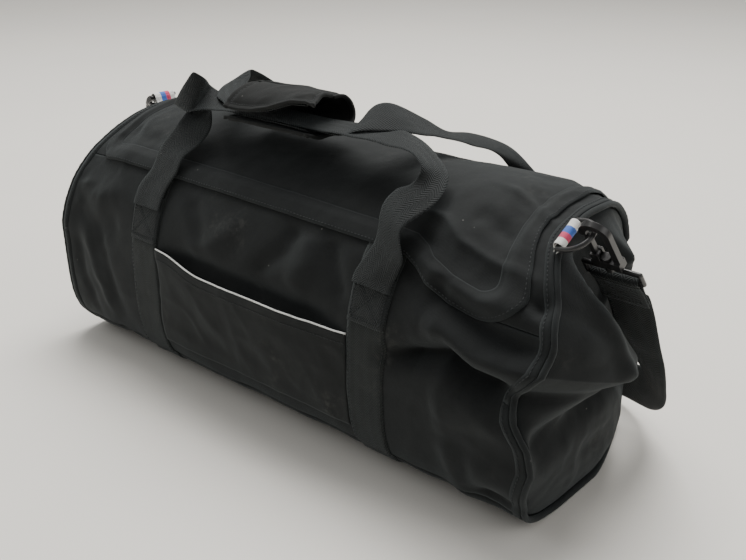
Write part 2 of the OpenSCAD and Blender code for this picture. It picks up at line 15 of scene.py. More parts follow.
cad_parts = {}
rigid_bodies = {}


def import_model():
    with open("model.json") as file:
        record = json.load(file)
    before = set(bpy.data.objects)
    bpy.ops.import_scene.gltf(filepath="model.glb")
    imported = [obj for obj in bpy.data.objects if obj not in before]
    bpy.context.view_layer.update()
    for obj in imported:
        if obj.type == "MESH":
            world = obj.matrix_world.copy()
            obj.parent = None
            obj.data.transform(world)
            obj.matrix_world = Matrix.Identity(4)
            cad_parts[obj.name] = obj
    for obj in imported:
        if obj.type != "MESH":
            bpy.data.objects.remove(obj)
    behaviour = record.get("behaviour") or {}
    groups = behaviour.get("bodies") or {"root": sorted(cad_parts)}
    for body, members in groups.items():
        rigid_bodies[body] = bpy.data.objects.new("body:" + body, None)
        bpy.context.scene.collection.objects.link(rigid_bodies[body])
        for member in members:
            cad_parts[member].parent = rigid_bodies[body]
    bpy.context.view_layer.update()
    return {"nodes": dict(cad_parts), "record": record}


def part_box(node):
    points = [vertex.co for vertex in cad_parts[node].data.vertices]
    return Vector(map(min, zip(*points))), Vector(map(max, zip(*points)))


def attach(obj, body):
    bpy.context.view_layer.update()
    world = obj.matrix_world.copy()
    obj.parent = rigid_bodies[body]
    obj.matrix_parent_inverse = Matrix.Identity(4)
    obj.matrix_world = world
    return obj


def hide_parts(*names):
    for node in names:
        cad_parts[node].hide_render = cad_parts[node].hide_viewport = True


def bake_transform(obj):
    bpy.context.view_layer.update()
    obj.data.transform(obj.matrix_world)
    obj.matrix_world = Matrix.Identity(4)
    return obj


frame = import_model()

MM = 0.001
nodes = frame["nodes"]
joints = {joint["name"]: joint for joint in frame["record"]["behaviour"]["joints"]}


def box_mm(node):
    low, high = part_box(node)
    return np.array(low)*1000, np.array(high)*1000


def joint_pos(name):
    return np.array(joints[name]["pos_m"])*1000


def joint_axis(name):
    return np.array(joints[name]["axis"], float)


# ---------------- driving sizes: mm, and degrees round the body ----------------
ROUND_R = -box_mm("front_panel")[0][1]            # radius of the round upper half
AXIS_Z = box_mm("top_lid")[1][2] - ROUND_R        # height of its centre
BASE_DROP = AXIS_Z - 1.7                          # from the axis down to the flat base
HALF_LEN = 277.0
STRAIGHT = 195.0                                  # |x| where the ends begin to lean
DEG_PER_MM = 180/(math.pi*ROUND_R)
MM_PER_DEG = math.pi*ROUND_R/180
CLOTH = 1.4                                       # shell thickness

ZIP_DEG, ZIP_X, ZIP_CORNER_R = 43.5, 252.0, 24.0  # front run, end runs, corners
ZIP_EDGE = 4.2                                    # zip line to the cut edge of the cloth
CORNER_DEG = ZIP_DEG + ZIP_CORNER_R*DEG_PER_MM
LID_BACK = 140.0                                  # seam at the back of the lid
FRONT_TOP = ZIP_DEG - ZIP_EDGE*DEG_PER_MM
BASE_FRONT, BASE_BACK = -42, 222                  # seams along the base
SEAM_GAP = .2

WEB_W = 38.0
BAND_X = (box_mm("left_band")[0][0] + box_mm("left_band")[1][0])/-2
ANCHOR_TOP, ANCHOR_LOW = 29.0, 9.5                # sewn handle ends


# ---------------- small maths ----------------
def smooth(u):
    u = np.clip(u, 0, 1)
    return u*u*(3 - 2*u)


def bell(distance, width, power=2):
    return np.exp(-(distance/width)**power)


def unit(v):
    return v/np.maximum(np.linalg.norm(v, axis=-1, keepdims=True), 1e-9)


def square_to(v, axis):
    """The part of v at right angles to a unit axis."""
    return v - (v*axis).sum(-1, keepdims=True)*axis


def run_length(path):
    return np.concatenate([[0], np.cumsum(np.linalg.norm(np.diff(path, axis=0), axis=1))])


def wrap_angle(angle):
    return ((angle + 180) % 360) - 180


def grid(us, vs):
    return np.meshgrid(us, vs, indexing="ij")


def pairs(u, v):
    """UVs from two arrays that broadcast together."""
    return np.stack(np.broadcast_arrays(u, v), -1)


def rounded(s, power, least):
    """Relative thickness across a strip with rounded selvedges at s = -1 and 1."""
    return np.sqrt(np.clip(1 - np.abs(s)**power, least, 1))


def spline(points, steps):
    """Catmull-Rom curve through the points."""
    points = np.asarray(points, float)
    count, out = len(points), []
    for i in range(count - 1):
        a, b = points[max(0, i - 1)], points[i]
        c, d = points[i + 1], points[min(count - 1, i + 2)]
        for j in range(steps + (1 if i == count - 2 else 0)):
            u = j/steps
            out.append(.5*(2*b + (c - a)*u + (2*a - 5*b + 4*c - d)*u*u
                           + (3*b - a - 3*c + d)*u**3))
    return np.array(out)


def polyline_distance(x, y, points):
    """Distance to a polyline, and how far along it (0 to 1) the nearest point is."""
    best, along = np.full(x.shape, 1e9), np.zeros(x.shape)
    count = len(points) - 1
    for i in range(count):
        (ax, ay), (bx, by) = points[i], points[i + 1]
        dx, dy = bx - ax, by - ay
        u = np.clip(((x - ax)*dx + (y - ay)*dy)/(dx*dx + dy*dy + 1e-9), 0, 1)
        d = np.hypot(x - ax - u*dx, y - ay - u*dy)
        nearer = d < best
        best = np.where(nearer, d, best)
        along = np.where(nearer, (i + u)/count, along)
    return best, along


LATTICE = np.random.RandomState(7).rand(64, 64)*2 - 1


def vnoise(x, y):
    """Smooth repeatable noise, -1 to 1."""
    xi, yi = np.floor(x).astype(int), np.floor(y).astype(int)
    fx, fy = x - xi, y - yi
    fx, fy = (f*f*f*(f*(f*6 - 15) + 10) for f in (fx, fy))

    def at(a, b):
        return LATTICE[a % 64, b % 64]
    return ((at(xi, yi)*(1 - fx) + at(xi + 1, yi)*fx)*(1 - fy)
            + (at(xi, yi + 1)*(1 - fx) + at(xi + 1, yi + 1)*fx)*fy)


def ridged(x, y):
    return 1 - 2*np.abs(vnoise(x, y))


# ---------------- body surface ----------------
# (points of (x, angle)), width, rise, sharpness power
FOLDS = [
    # the big roll and the deep fold at the slumped right end
    ([(160, 1), (190, 5), (213, 9), (236, 4.5), (262, 3.5), (300, 3)], 8.5, -21, 1.6),
    ([(190, 18), (213, 16.5), (240, 12), (268, 12), (300, 13)], 12, 9, 2),
    ([(190, 34), (205, 29), (237, 23), (258, 21), (300, 22)], 9, -8, 1.8),
    ([(150, 40), (200, 34), (240, 31), (275, 32)], 9, 4, 2),
    ([(205, -12), (240, -8), (300, -8)], 16, 6, 2),
    ([(262, 33), (277, 40), (290, 45)], 7, -11, 1.8),
    ([(235, -28), (262, -27), (300, -27)], 12, 5, 2),
    ([(240, -38), (300, -36)], 7, -7, 1.8),
    ([(215, -20), (225, -33), (228, -50)], 10, 3, 2),
    # creases on the top and the front
    ([(150, 58), (175, 56), (197, 49), (234, 45.5), (263, 44.5)], 4.5, 3.4, 1.4),
    ([(190, 80), (229, 76), (248, 72), (270, 69.5)], 4.5, 3.0, 1.4),
    ([(148, 47), (171, 43), (186, 40)], 4.5, 2.4, 1.4),
    ([(190, 62), (215, 60), (245, 58)], 10, -3.5, 2),
    ([(120, 66), (150, 62), (170, 64)], 14, -3, 2),
    ([(46, 37), (38, 26), (6, 11)], 9, -4, 1.8),
    ([(84, 36), (96, 26), (112, 14)], 8, -4, 1.8),
    ([(64, 36), (66, 24), (52, 12)], 12, 3.5, 2),
    ([(-20, 30), (-45, 18), (-80, 12)], 10, 2.5, 2),
    ([(-90, 34), (-70, 25), (-60, 14)], 8, -2, 2),
    # left end
    ([(-262, 28), (-225, 22), (-185, 26)], 12, 3, 2),
    ([(-262, 14), (-220, 8), (-180, 12)], 14, -3.5, 2),
    ([(-240, 4), (-225, -14), (-205, -34)], 7, 2.6, 1.8),
    ([(-218, 6), (-204, -10), (-190, -30)], 7, -2.4, 1.8),
    ([(-255, 2), (-248, -20), (-235, -38)], 7, -2.2, 1.8),
    ([(-235, 60), (-195, 54), (-165, 56)], 9, -2.5, 2),
    # back
    ([(160, 175), (210, 168), (277, 172)], 13, -14, 1.7),
    ([(170, 158), (220, 154), (277, 158)], 14, 7, 2),
    ([(180, 196), (230, 190), (277, 193)], 12, -8, 1.8),
    ([(-60, 165), (-20, 178), (20, 170)], 12, -3, 2),
    ([(60, 190), (90, 176), (130, 170)], 10, -3, 2),
    ([(-180, 180), (-220, 170), (-262, 176)], 12, -4, 2),
]
# hollow across the pocket's mouth
POCKET_FOLD = ([(-104, 8), (-60, 7), (-19, 6), (56, 5), (104, 6)], 10, -7, 2)
# angle, how far the right rim is pushed along +X
RIGHT_RIM = [
    (-180, 0), (-90, 0), (-60, 1), (-45, 3), (-33, 8), (-22, 16), (-14, 12), (-6, 0), (3, -5),
    (8, 7), (14, 19), (25, 22), (36, 18), (46, 12), (56, 4), (64, 0), (90, 0), (150, 4),
    (165, -8), (180, 0)]
# x, degrees the lid and zip have slid down
SLIP = [
    (-60, 0), (20, 0), (60, .3), (100, .6), (140, 1), (158, 1.7), (172, 5), (183, 9),
    (205, 13), (230, 15), (300, 15)]
# x, depth taken off so that the zip's track stays level as far as the slider runs
TRACK = [
    (122, 0), (130, .4), (140, 1.4), (150, 2.5), (156, 3.1), (163, 4.0), (170, 4.6),
    (178, 3.2), (188, 0)]
# (angle, depth, width) of the lengthwise seams
SEAMS = [(BASE_FRONT, 1.6, 3.2), (BASE_BACK, 1.6, 3.2), (LID_BACK, 1.2, 3)]


def table_at(x, table):
    return np.interp(x, *np.transpose(table))


def body_shape(x, angle):
    """Smooth body without relief: a round top over a squarish base, with leaning ends."""
    t = np.radians(angle)
    s, c = np.sin(t), np.cos(t)
    low = (np.abs(c)/ROUND_R)**4.5 + (np.maximum(-s, 0)/(BASE_DROP + .6))**4.5
    r = np.where(s >= 0, ROUND_R, np.power(np.maximum(low, 1e-30), -1/4.5))
    left = smooth((-x - STRAIGHT)/(HALF_LEN - STRAIGHT))
    right = smooth((x - STRAIGHT)/(HALF_LEN - STRAIGHT))
    up, back = np.maximum(0, s), np.maximum(0, -c)
    lean = 30*left*up**1.5 - right*(16*up*up + 45*back**1.5)
    rim = table_at(np.degrees(np.arctan2(s, c)), RIGHT_RIM)
    lean = lean + smooth((x - 215)/(HALF_LEN - 215))*rim
    y = -r*c
    z = AXIS_Z + np.maximum(r*s, -BASE_DROP) - 6*left*up - 9*right*up*up
    sag = 3.5*up**2*bell(x - 60, 120)             # the top sags between the ends
    return np.stack([x + lean, np.where(y > 0, y*(1 - .12*right), y), z - sag], -1)


def wrinkles(x, angle):
    y = angle*MM_PER_DEG
    off_floor = smooth((np.sin(np.radians(angle)) + .93)/.16)
    ends = .55 + .75*smooth((np.abs(x) - 150)/110)
    # broad swells, two sizes of creases on warped axes, then fine puckers
    h = 1.5*vnoise(x/61 + 3.1 + .4*vnoise(x/40, y/33), y/47 + 1.7)
    wx, wy = x + 9*vnoise(x/37, y/41 + 5), y + 9*vnoise(x/33 + 9, y/39)
    h += 1.1*(ridged(wx/44 + wy/95, wy/60 - wx/120 + 4.2) - .35)
    h += .5*(ridged(wx/19 - wy/34 + 8, wy/24 + 2.2) - .3)
    h += .22*vnoise(x/8.5, y/7.5)
    return h*off_floor*ends*.85


def relief(x, angle, plain):
    """Height of the cloth off the smooth body; plain leaves out the pocket fold."""
    h = wrinkles(x, angle)
    turned = wrap_angle(angle)
    turned = np.where(turned < -90, turned + 360, turned)
    for points, width, rise, power in FOLDS + ([] if plain else [POCKET_FOLD]):
        line = [(px, deg*MM_PER_DEG) for px, deg in points]
        d, along = polyline_distance(x, turned*MM_PER_DEG, line)
        fade = np.clip(np.minimum(along, 1 - along)*5 + .25, 0, 1)
        h = h + rise*bell(d, width, power)*fade
    h = h*smooth((np.sin(np.radians(angle)) + .96)/.14)
    for seam, depth, width in SEAMS:
        h = h - depth*bell((turned - seam)*MM_PER_DEG, width)
    # near the end seams the cloth is held by the piping
    end = HALF_LEN - np.abs(x)
    return h*(.35 + .65*smooth(end/22)) - .5*bell(end, 4.5)


RELIEF_X = np.arange(-290, 290.1, 2.0)
RELIEF_DEG = np.arange(-80, 280.1, 1.0)
RELIEF = {plain: relief(*grid(RELIEF_X, RELIEF_DEG), plain) for plain in (False, True)}


def relief_at(x, angle, plain=False):
    """Relief read from its grid, between grid points."""
    heights = RELIEF[plain]
    angle = np.where(angle > 280, angle - 360, np.where(angle < -80, angle + 360, angle))
    u = np.clip((x - RELIEF_X[0])/2.0, 0, len(RELIEF_X) - 1.001)
    v = np.clip((angle - RELIEF_DEG[0])/1.0, 0, len(RELIEF_DEG) - 1.001)
    i, j = u.astype(int), v.astype(int)
    fu, fv = u - i, v - j
    return ((heights[i, j]*(1 - fu) + heights[i + 1, j]*fu)*(1 - fv)
            + (heights[i, j + 1]*(1 - fu) + heights[i + 1, j + 1]*fu)*fv)


def normal(x, angle):
    along = body_shape(x + 1.0, angle) - body_shape(x - 1.0, angle)
    round_ = body_shape(x, angle + DEG_PER_MM) - body_shape(x, angle - DEG_PER_MM)
    return unit(np.cross(along, round_))


def skin(x, angle, out=0.0, plain=False):
    """Points on the cloth, lifted outward by out."""
    x, angle = np.broadcast_arrays(np.asarray(x, float), np.asarray(angle, float))
    turned = wrap_angle(angle)
    track = table_at(x, TRACK)*bell(turned - ZIP_DEG, 9, 4)
    slip = table_at(x, SLIP)*smooth((turned - 8)/26)*(1 - smooth((turned - 58)/74))
    angle = angle - slip
    lift = relief_at(x, angle, plain) + out - track
    points = body_shape(x, angle) + normal(x, angle)*lift[..., None]
    # the base lies on the floor
    points[..., 2] = np.maximum(points[..., 2], .25 + .12*np.maximum(out, 0))
    return points


# ---------------- mesh builders ----------------
def mesh(name, verts, faces, uv, mat, slot, body=None, replaces=None, smooth_faces=True):
    data = bpy.data.meshes.new(name)
    data.from_pydata([tuple(v) for v in np.asarray(verts)*MM], [], [tuple(f) for f in faces])
    data.validate(clean_customdata=False)
    layer = data.uv_layers.new(name="mm")
    index = np.zeros(len(data.loops), int)
    data.loops.foreach_get("vertex_index", index)
    layer.data.foreach_set("uv", np.asarray(uv, np.float32)[index].ravel())
    bm = bmesh.new()
    bm.from_mesh(data)
    bmesh.ops.recalc_face_normals(bm, faces=bm.faces)
    bm.to_mesh(data)
    bm.free()
    data.polygons.foreach_set("use_smooth", [smooth_faces]*len(data.polygons))
    data.update()
    obj = bpy.data.objects.new(name, data)
    bpy.context.scene.collection.objects.link(obj)
    data.materials.append(mat)
    if body:
        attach(obj, body)
    if replaces:
        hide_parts(replaces)
    return obj


def sheet(name, outer, inner, uv, flip=False, **look):
    """Closed sheet between two grids of points; flip runs the rows the other way."""
    if flip:
        outer, inner, uv = outer[::-1], inner[::-1], uv[::-1]
    rows, columns = outer.shape[:2]
    count = rows*columns
    index = np.arange(count).reshape(rows, columns)
    a, b = index[:-1, :-1].ravel(), index[1:, :-1].ravel()
    c, d = index[1:, 1:].ravel(), index[:-1, 1:].ravel()
    faces = np.stack([a, b, c, d], 1).tolist()
    faces += (np.stack([a, d, c, b], 1) + count).tolist()
    for e in (index[:, 0], index[::-1, -1], index[0, ::-1], index[-1, :]):
        faces += np.stack([e[:-1], e[:-1] + count, e[1:] + count, e[1:]], 1).tolist()
    verts = np.concatenate([outer.reshape(-1, 3), inner.reshape(-1, 3)])
    return mesh(name, verts, faces, np.concatenate([uv.reshape(-1, 2)]*2), **look)


def ring_faces(count, sides, first=0, loop=False):
    """Faces joining a run of rings, closed by end faces or back onto the first ring."""
    faces = []
    for i in range(count if loop else count - 1):
        a, b = first + i*sides, first + (i + 1) % count*sides
        faces += [(a + j, a + (j + 1) % sides, b + (j + 1) % sides, b + j)
                  for j in range(sides)]
    if not loop:
        last = first + (count - 1)*sides
        faces.append(tuple(range(first + sides - 1, first - 1, -1)))
        faces.append(tuple(range(last, last + sides)))
    return faces


def tube(name, path, side, up, radius, sides, loop=False, **look):
    """Tube round a path with cross axes side and up; radius is one or one per point."""
    count, turn = len(path), np.arange(sides)*2*math.pi/sides
    radius = np.broadcast_to(np.asarray(radius, float), (count,))
    spokes = (np.cos(turn)[None, :, None]*side[:, None]
              + np.sin(turn)[None, :, None]*up[:, None])
    verts = (path[:, None] + radius[:, None, None]*spokes).reshape(-1, 3)
    uv = np.stack([np.repeat(run_length(path), sides),
                   np.tile(turn*radius.mean(), count)], 1)
    return mesh(name, verts, ring_faces(count, sides, loop=loop), uv, **look)


def webbing(name, edge_a, edge_b, crown, waviness, **look):
    """Flat webbing between two edge curves, with rounded selvedges."""
    centre, across = (edge_a + edge_b)/2, edge_b - edge_a
    length = run_length(centre)
    up = unit(np.cross(np.gradient(centre, axis=0), across))[:, None]
    s = np.linspace(-1, 1, 17)
    rise = crown*(1 - s*s)[None] + waviness*vnoise(length[:, None]/17 + 2.3,
                                                   s[None]*1.3 + 4.1)
    middle = centre[:, None] + across[:, None]*(s[None, :, None]/2) + up*rise[..., None]
    half = up*(rounded(s, 14, .12)*1.8/2)[None, :, None]
    uv = pairs(length[:, None], s[None]*np.linalg.norm(across, axis=1)[:, None]/2)
    return sheet(name, middle + half, middle - half, uv, **look)


# one stitch: fraction along, relative radius, rise
STITCH_RINGS = [(0, .35, -.15), (.18, 1, .1), (.5, 1.1, .22), (.82, 1, .1), (1, .35, -.15)]


def stitches(name, path, normals, slot, body=None, step=3.6, length=2.5, radius=.32, lift=.12):
    """A run of single stitches lying along a path."""
    travel = run_length(path)

    def at(s):
        return [np.array([np.interp(s, travel, values[:, i]) for i in range(3)])
                for values in (path, normals)]
    verts, faces = [], []
    count = int(travel[-1]//step)
    for s in (np.arange(count) + .5)*travel[-1]/max(count, 1):
        (a, normal_a), (b, normal_b) = at(s - length/2), at(s + length/2)
        up = unit((normal_a + normal_b)/2)
        across = np.cross(unit(b - a), up)
        faces += ring_faces(len(STITCH_RINGS), 4, first=len(verts))
        for along, swell, rise in STITCH_RINGS:
            centre = a + (b - a)*along + up*(lift + rise)
            for turn in np.radians((0, 90, 180, 270)):
                verts.append(centre + radius*swell*(math.cos(turn)*across
                                                    + math.sin(turn)*up))
    return mesh(name, verts, faces, np.zeros((len(verts), 2)), THREAD, slot, body)


BOX_STITCH = dict(step=3.0, length=2.2, radius=.36)


def box_and_cross(half, low, high):
    """Lines (u0, v0, u1, v1) of a stitched box with a cross in it."""
    return [(-half, low, half, low), (half, low, half, high), (half, high, -half, high),
            (-half, high, -half, low), (-half, low, half, high), (half, low, -half, high)]


# ---------------- materials ----------------
class Shader:
    """A node material with a Principled surface; colours are plain RGB tuples."""

    def __init__(self, name):
        self.material = bpy.data.materials.new(name)
        self.material.use_nodes = True
        self.tree = self.material.node_tree
        self.tree.nodes.clear()
        output = self.node("ShaderNodeOutputMaterial")
        self.principled = self.node("ShaderNodeBsdfPrincipled")
        self.put(output.inputs[0], self.principled.outputs[0])

    def node(self, kind, **settings):
        made = self.tree.nodes.new(kind)
        for key, value in settings.items():
            setattr(made, key, value)
        return made

    def put(self, socket, value):
        if isinstance(value, bpy.types.NodeSocket):
            self.tree.links.new(value, socket)
        else:
            socket.default_value = (*value, 1) if isinstance(value, tuple) else value

    def surface(self, values):
        for key, value in values.items():
            self.put(self.principled.inputs[key], value)

    def object_coords(self):
        return self.node("ShaderNodeTexCoord").outputs["Object"]

    def uv_mm(self):
        split = self.node("ShaderNodeSeparateXYZ")
        self.put(split.inputs[0], self.node("ShaderNodeUVMap", uv_map="mm").outputs[0])
        return split.outputs[0], split.outputs[1]

    def math(self, operation, a, b=None, clamp=False):
        made = self.node("ShaderNodeMath", operation=operation, use_clamp=clamp)
        self.put(made.inputs[0], a)
        if b is not None:
            self.put(made.inputs[1], b)
        return made.outputs[0]

    def add(self, a, b, clamp=False):
        return self.math("ADD", a, b, clamp)

    def times(self, a, b):
        return self.math("MULTIPLY", a, b)

    def wave(self, value, rate):
        return self.math("SINE", self.times(value, rate))

    def mix(self, factor, a, b):
        made = self.node("ShaderNodeMix", data_type="RGBA")
        for index, value in ((0, factor), (6, a), (7, b)):
            self.put(made.inputs[index], value)
        return made.outputs[2]

    def noise(self, vector, scale, detail=2.0, rough=.5):
        made = self.node("ShaderNodeTexNoise")
        for key, value in (("Scale", scale), ("Detail", detail), ("Roughness", rough),
                           ("Vector", vector)):
            self.put(made.inputs[key], value)
        return made.outputs["Fac"]

    def ramp(self, value, low, high):
        made = self.node("ShaderNodeMapRange", interpolation_type="SMOOTHSTEP")
        for index, item in enumerate((value, low, high)):
            self.put(made.inputs[index], item)
        return made.outputs[0]

    def bump(self, height, strength, depth_mm, normal=None):
        made = self.node("ShaderNodeBump")
        self.put(made.inputs["Strength"], strength)
        self.put(made.inputs["Distance"], depth_mm*MM)
        self.put(made.inputs["Height"], height)
        if normal is not None:
            self.put(made.inputs["Normal"], normal)
        return made.outputs[0]


def weave_height(sh, kind, pitch, u, v, coords):
    """Thread height, about -1 to 1: plain weave, twill chevrons or ribs."""
    rate = 2*math.pi/pitch
    if kind == "plain":
        wander = sh.times(sh.noise(coords, scale=180, detail=1), .5)
        return sh.times(sh.wave(sh.add(u, wander), rate/2),
                        sh.wave(sh.add(v, wander), rate/2))
    if kind == "twill":
        # chevrons 4.75 mm deep across the webbing, and 0.8 mm ribs along it
        chevron = sh.wave(sh.add(u, sh.math("PINGPONG", v, 4.75)), rate)
        rib = sh.wave(v, 2*math.pi/.8)
        return sh.add(sh.times(chevron, .8), sh.times(rib, .35))
    return sh.wave(u, rate)


def cloth(name, dark, light, kind="plain", pitch=.62, bump=.35, rough=.74, sheen=.10,
          dust=.5, specks=True, ridge=.5):
    """Woven polyester: threads, slubs, faded ridges, dust and lint. Pitch is in mm."""
    sh = Shader(name)
    u, v = sh.uv_mm()
    geometry = sh.node("ShaderNodeNewGeometry")
    coords = sh.object_coords()
    threads = weave_height(sh, kind, pitch, u, v, coords)
    slub = sh.noise(coords, scale=900, detail=3)
    broad = sh.noise(coords, scale=7, detail=4, rough=.6)
    fine = sh.noise(coords, scale=60, detail=3, rough=.6)
    # dark between threads, light on them, broken up by two sizes of grain
    thread_tone = sh.add(sh.times(threads, .5), .5, clamp=True)
    coarse_grain = sh.ramp(sh.noise(coords, scale=420, rough=.6), low=.32, high=.68)
    fine_grain = sh.ramp(sh.noise(coords, scale=1300, rough=.6), low=.3, high=.7)
    grain = sh.add(sh.times(coarse_grain, .55), sh.times(fine_grain, .45))
    tone = sh.add(sh.times(thread_tone, .45), sh.times(grain, .6), clamp=True)
    colour = sh.mix(tone, dark, light)
    # colour drift over the panel
    drift = sh.times(sh.ramp(broad, low=.35, high=.7), .35)
    colour = sh.mix(drift, colour, tuple(c*1.5 for c in light))
    # ridges of wrinkles fade to grey
    raised = sh.ramp(geometry.outputs["Pointiness"], low=.505, high=.56)
    faded = (light[0]*3.2, light[1]*3.4, light[2]*3.4)
    colour = sh.mix(sh.times(sh.times(raised, fine), ridge), colour, faded)
    # dust smudges
    smudge = sh.ramp(sh.noise(coords, scale=11, detail=5, rough=.65), low=.56, high=.76)
    broken = sh.ramp(sh.noise(coords, scale=150, detail=3, rough=.7), low=.4, high=.8)
    colour = sh.mix(sh.times(sh.times(smudge, broken), dust), colour, (.075, .074, .068))
    if specks:
        # lint: small dots in a few of the cells
        cells = sh.node("ShaderNodeTexVoronoi")
        sh.put(cells.inputs["Scale"], 85)
        sh.put(cells.inputs["Vector"], coords)
        pick = sh.node("ShaderNodeSeparateColor")
        sh.put(pick.inputs[0], cells.outputs["Color"])
        dot = sh.times(sh.math("LESS_THAN", cells.outputs["Distance"], .05),
                       sh.math("GREATER_THAN", pick.outputs[0], .86))
        colour = sh.mix(sh.times(dot, .6*dust + .05), colour, (.35, .34, .32))
    weave = sh.bump(sh.add(threads, sh.times(slub, .5)), strength=bump, depth_mm=pitch*.25)
    pucker = sh.noise(coords, scale=130, detail=4, rough=.6)
    sh.surface({
        "Base Color": colour,
        "Roughness": sh.add(sh.times(fine, .14), rough + .02),
        "Specular IOR Level": .20,
        "Sheen Weight": sheen,
        "Sheen Roughness": .55,
        "Sheen Tint": (.80, .90, .92),
        "Normal": sh.bump(pucker, strength=.25, depth_mm=.9, normal=weave)})
    return sh.material


SHELL = cloth("woven_shell", (.0034, .0037, .0039), (.0074, .0084, .0087))
POCKET = cloth("woven_pocket", (.0034, .0037, .0037), (.0075, .0081, .0080), dust=.9)
WEBBING = cloth("twill_webbing", (.0030, .0035, .0037), (.0088, .0101, .0105), kind="twill",
                pitch=2.3, bump=.7, rough=.6, sheen=.12, dust=.35, ridge=.3)
BAND = cloth("flat_band", (.0036, .0042, .0041), (.0084, .0100, .0096), kind="twill",
             pitch=2.3, bump=.45, rough=.66, sheen=.12, dust=.8, ridge=.3)
WRAP = cloth("padded_wrap", (.0024, .0024, .0023), (.0052, .0053, .0050), sheen=.05)
BINDING = cloth("binding_tape", (.010, .010, .0105), (.022, .022, .023), kind="rib",
                pitch=1.1, bump=.5, dust=.3, specks=False)
ZIP_TAPE = cloth("zip_tape", (.009, .009, .0095), (.018, .018, .019), kind="rib",
                 pitch=1.3, bump=.6, dust=.1, specks=False)
PIPING = cloth("piping_cover", (.0036, .0039, .0042), (.0085, .0094, .0098), dust=.3)
FASTENING = cloth("fastening_tape", (.006, .006, .006), (.017, .017, .017),
                  pitch=1.5, bump=1.0, rough=.9, dust=.2, specks=False)
THREAD = cloth("thread", (.007, .0075, .008), (.019, .020, .021), kind="rib",
               pitch=.5, bump=.3, rough=.55, dust=0, specks=False)


def pale_piping():
    sh = Shader("pale_piping")
    grey = sh.ramp(sh.noise(sh.object_coords(), scale=400, detail=3), low=.4, high=.8)
    sh.surface({
        "Base Color": sh.mix(grey, (.80, .81, .79), (.55, .56, .54)),
        "Roughness": .45,
        "Sheen Weight": .2,
        "Normal": sh.bump(sh.wave(sh.uv_mm()[0], rate=6), strength=.5, depth_mm=.2)})
    return sh.material


def striped_ribbon():
    """White ribbon with a blue and a red stripe across its width (v in mm, about 0)."""
    sh = Shader("striped_ribbon")
    u, v = sh.uv_mm()
    coords = sh.object_coords()
    # the stripe edges waver slightly
    waver = sh.times(sh.math("SUBTRACT", sh.noise(coords, scale=500), .5), .5)
    place = sh.add(v, waver)

    def stripe(low, high):
        return sh.times(sh.math("GREATER_THAN", place, low),
                        sh.math("LESS_THAN", place, high))
    colour = sh.mix(stripe(-1.2, 5.2), (.80, .80, .78), (.02, .13, .55))
    colour = sh.mix(stripe(-6.4, -1.2), colour, (.62, .03, .12))
    dirt = sh.ramp(sh.noise(coords, scale=260, detail=4), low=.5, high=.8)
    thread_rate = 2*math.pi/.7
    weave = sh.times(sh.wave(u, thread_rate), sh.wave(v, thread_rate))
    sh.surface({
        "Base Color": sh.mix(sh.times(dirt, .25), colour, (.12, .11, .10)),
        "Roughness": .6,
        "Sheen Weight": .3,
        "Normal": sh.bump(weave, strength=.5, depth_mm=.15)})
    return sh.material


def hardware(name, colour, rough, worn=(.08, .08, .08)):
    """Moulded or painted hardware: rounded edges, handling wear, fine scratches."""
    sh = Shader(name)
    coords = sh.object_coords()
    bevel = sh.node("ShaderNodeBevel", samples=4)
    sh.put(bevel.inputs["Radius"], .5*MM)
    # the edge shows where the rounded and the true normals part
    facing = sh.node("ShaderNodeVectorMath", operation="DOT_PRODUCT")
    sh.put(facing.inputs[0], bevel.outputs[0])
    sh.put(facing.inputs[1], sh.node("ShaderNodeNewGeometry").outputs["Normal"])
    edge = sh.ramp(sh.math("SUBTRACT", 1.0, facing.outputs["Value"]), low=.01, high=.2)
    patchy = sh.ramp(sh.noise(coords, scale=260, detail=4, rough=.65), low=.35, high=.7)
    colour = sh.mix(sh.times(sh.times(edge, patchy), .55), colour, worn)
    # scratches are noise squeezed along y and z
    squeeze = sh.node("ShaderNodeMapping")
    squeeze.inputs["Scale"].default_value = (1, 6, 14)
    sh.put(squeeze.inputs[0], coords)
    scratch = sh.ramp(sh.noise(squeeze.outputs[0], scale=120, detail=3, rough=.7),
                      low=.62, high=.74)
    uneven = sh.times(sh.noise(coords, scale=90, detail=3), .22)
    sh.surface({
        "Base Color": sh.mix(sh.times(scratch, .25), colour, worn),
        "Roughness": sh.add(uneven, rough - .1),
        "Metallic": 0.0,
        "Normal": sh.bump(sh.noise(coords, scale=1500), strength=.18, depth_mm=.12,
                          normal=bevel.outputs[0])})
    return sh.material


WHITE = pale_piping()
RIBBON = striped_ribbon()
PLASTIC = hardware("moulded_plastic", (.012, .012, .0125), rough=.30)
METAL = hardware("painted_metal", (.022, .022, .022), rough=.38, worn=(.35, .34, .32))
COIL = hardware("zip_coil", (.010, .010, .0105), rough=.42)

SHELL_LOOK = dict(mat=SHELL, slot="shell_fabric")
BODY_SHELL = dict(SHELL_LOOK, body="bag_body")
BODY_WEBBING = dict(mat=WEBBING, body="bag_body", slot="handle_webbing")

# ---------------- sewn shell ----------------
PANEL_END = HALF_LEN - 1.3
PANEL_X = np.concatenate([np.linspace(-PANEL_END, -STRAIGHT, 26)[:-1],
                          np.linspace(-STRAIGHT, 150, 72)[:-1],
                          np.linspace(150, PANEL_END, 52)])


def shell_sheet(name, x, angle, **look):
    return sheet(name, skin(x, angle), skin(x, angle, -CLOTH),
                 pairs(x, angle*MM_PER_DEG), **look)


def zip_x(angle, offset):
    """Half-width of the zip line at an angle, offset outward in mm."""
    s = (angle - ZIP_DEG)/DEG_PER_MM + offset
    r = ZIP_CORNER_R + offset
    inset = r - np.sqrt(np.maximum(r*r - (r - s)**2, 0))
    return ZIP_X + offset - np.where(s >= r, 0, np.where(s <= 0, r, inset))


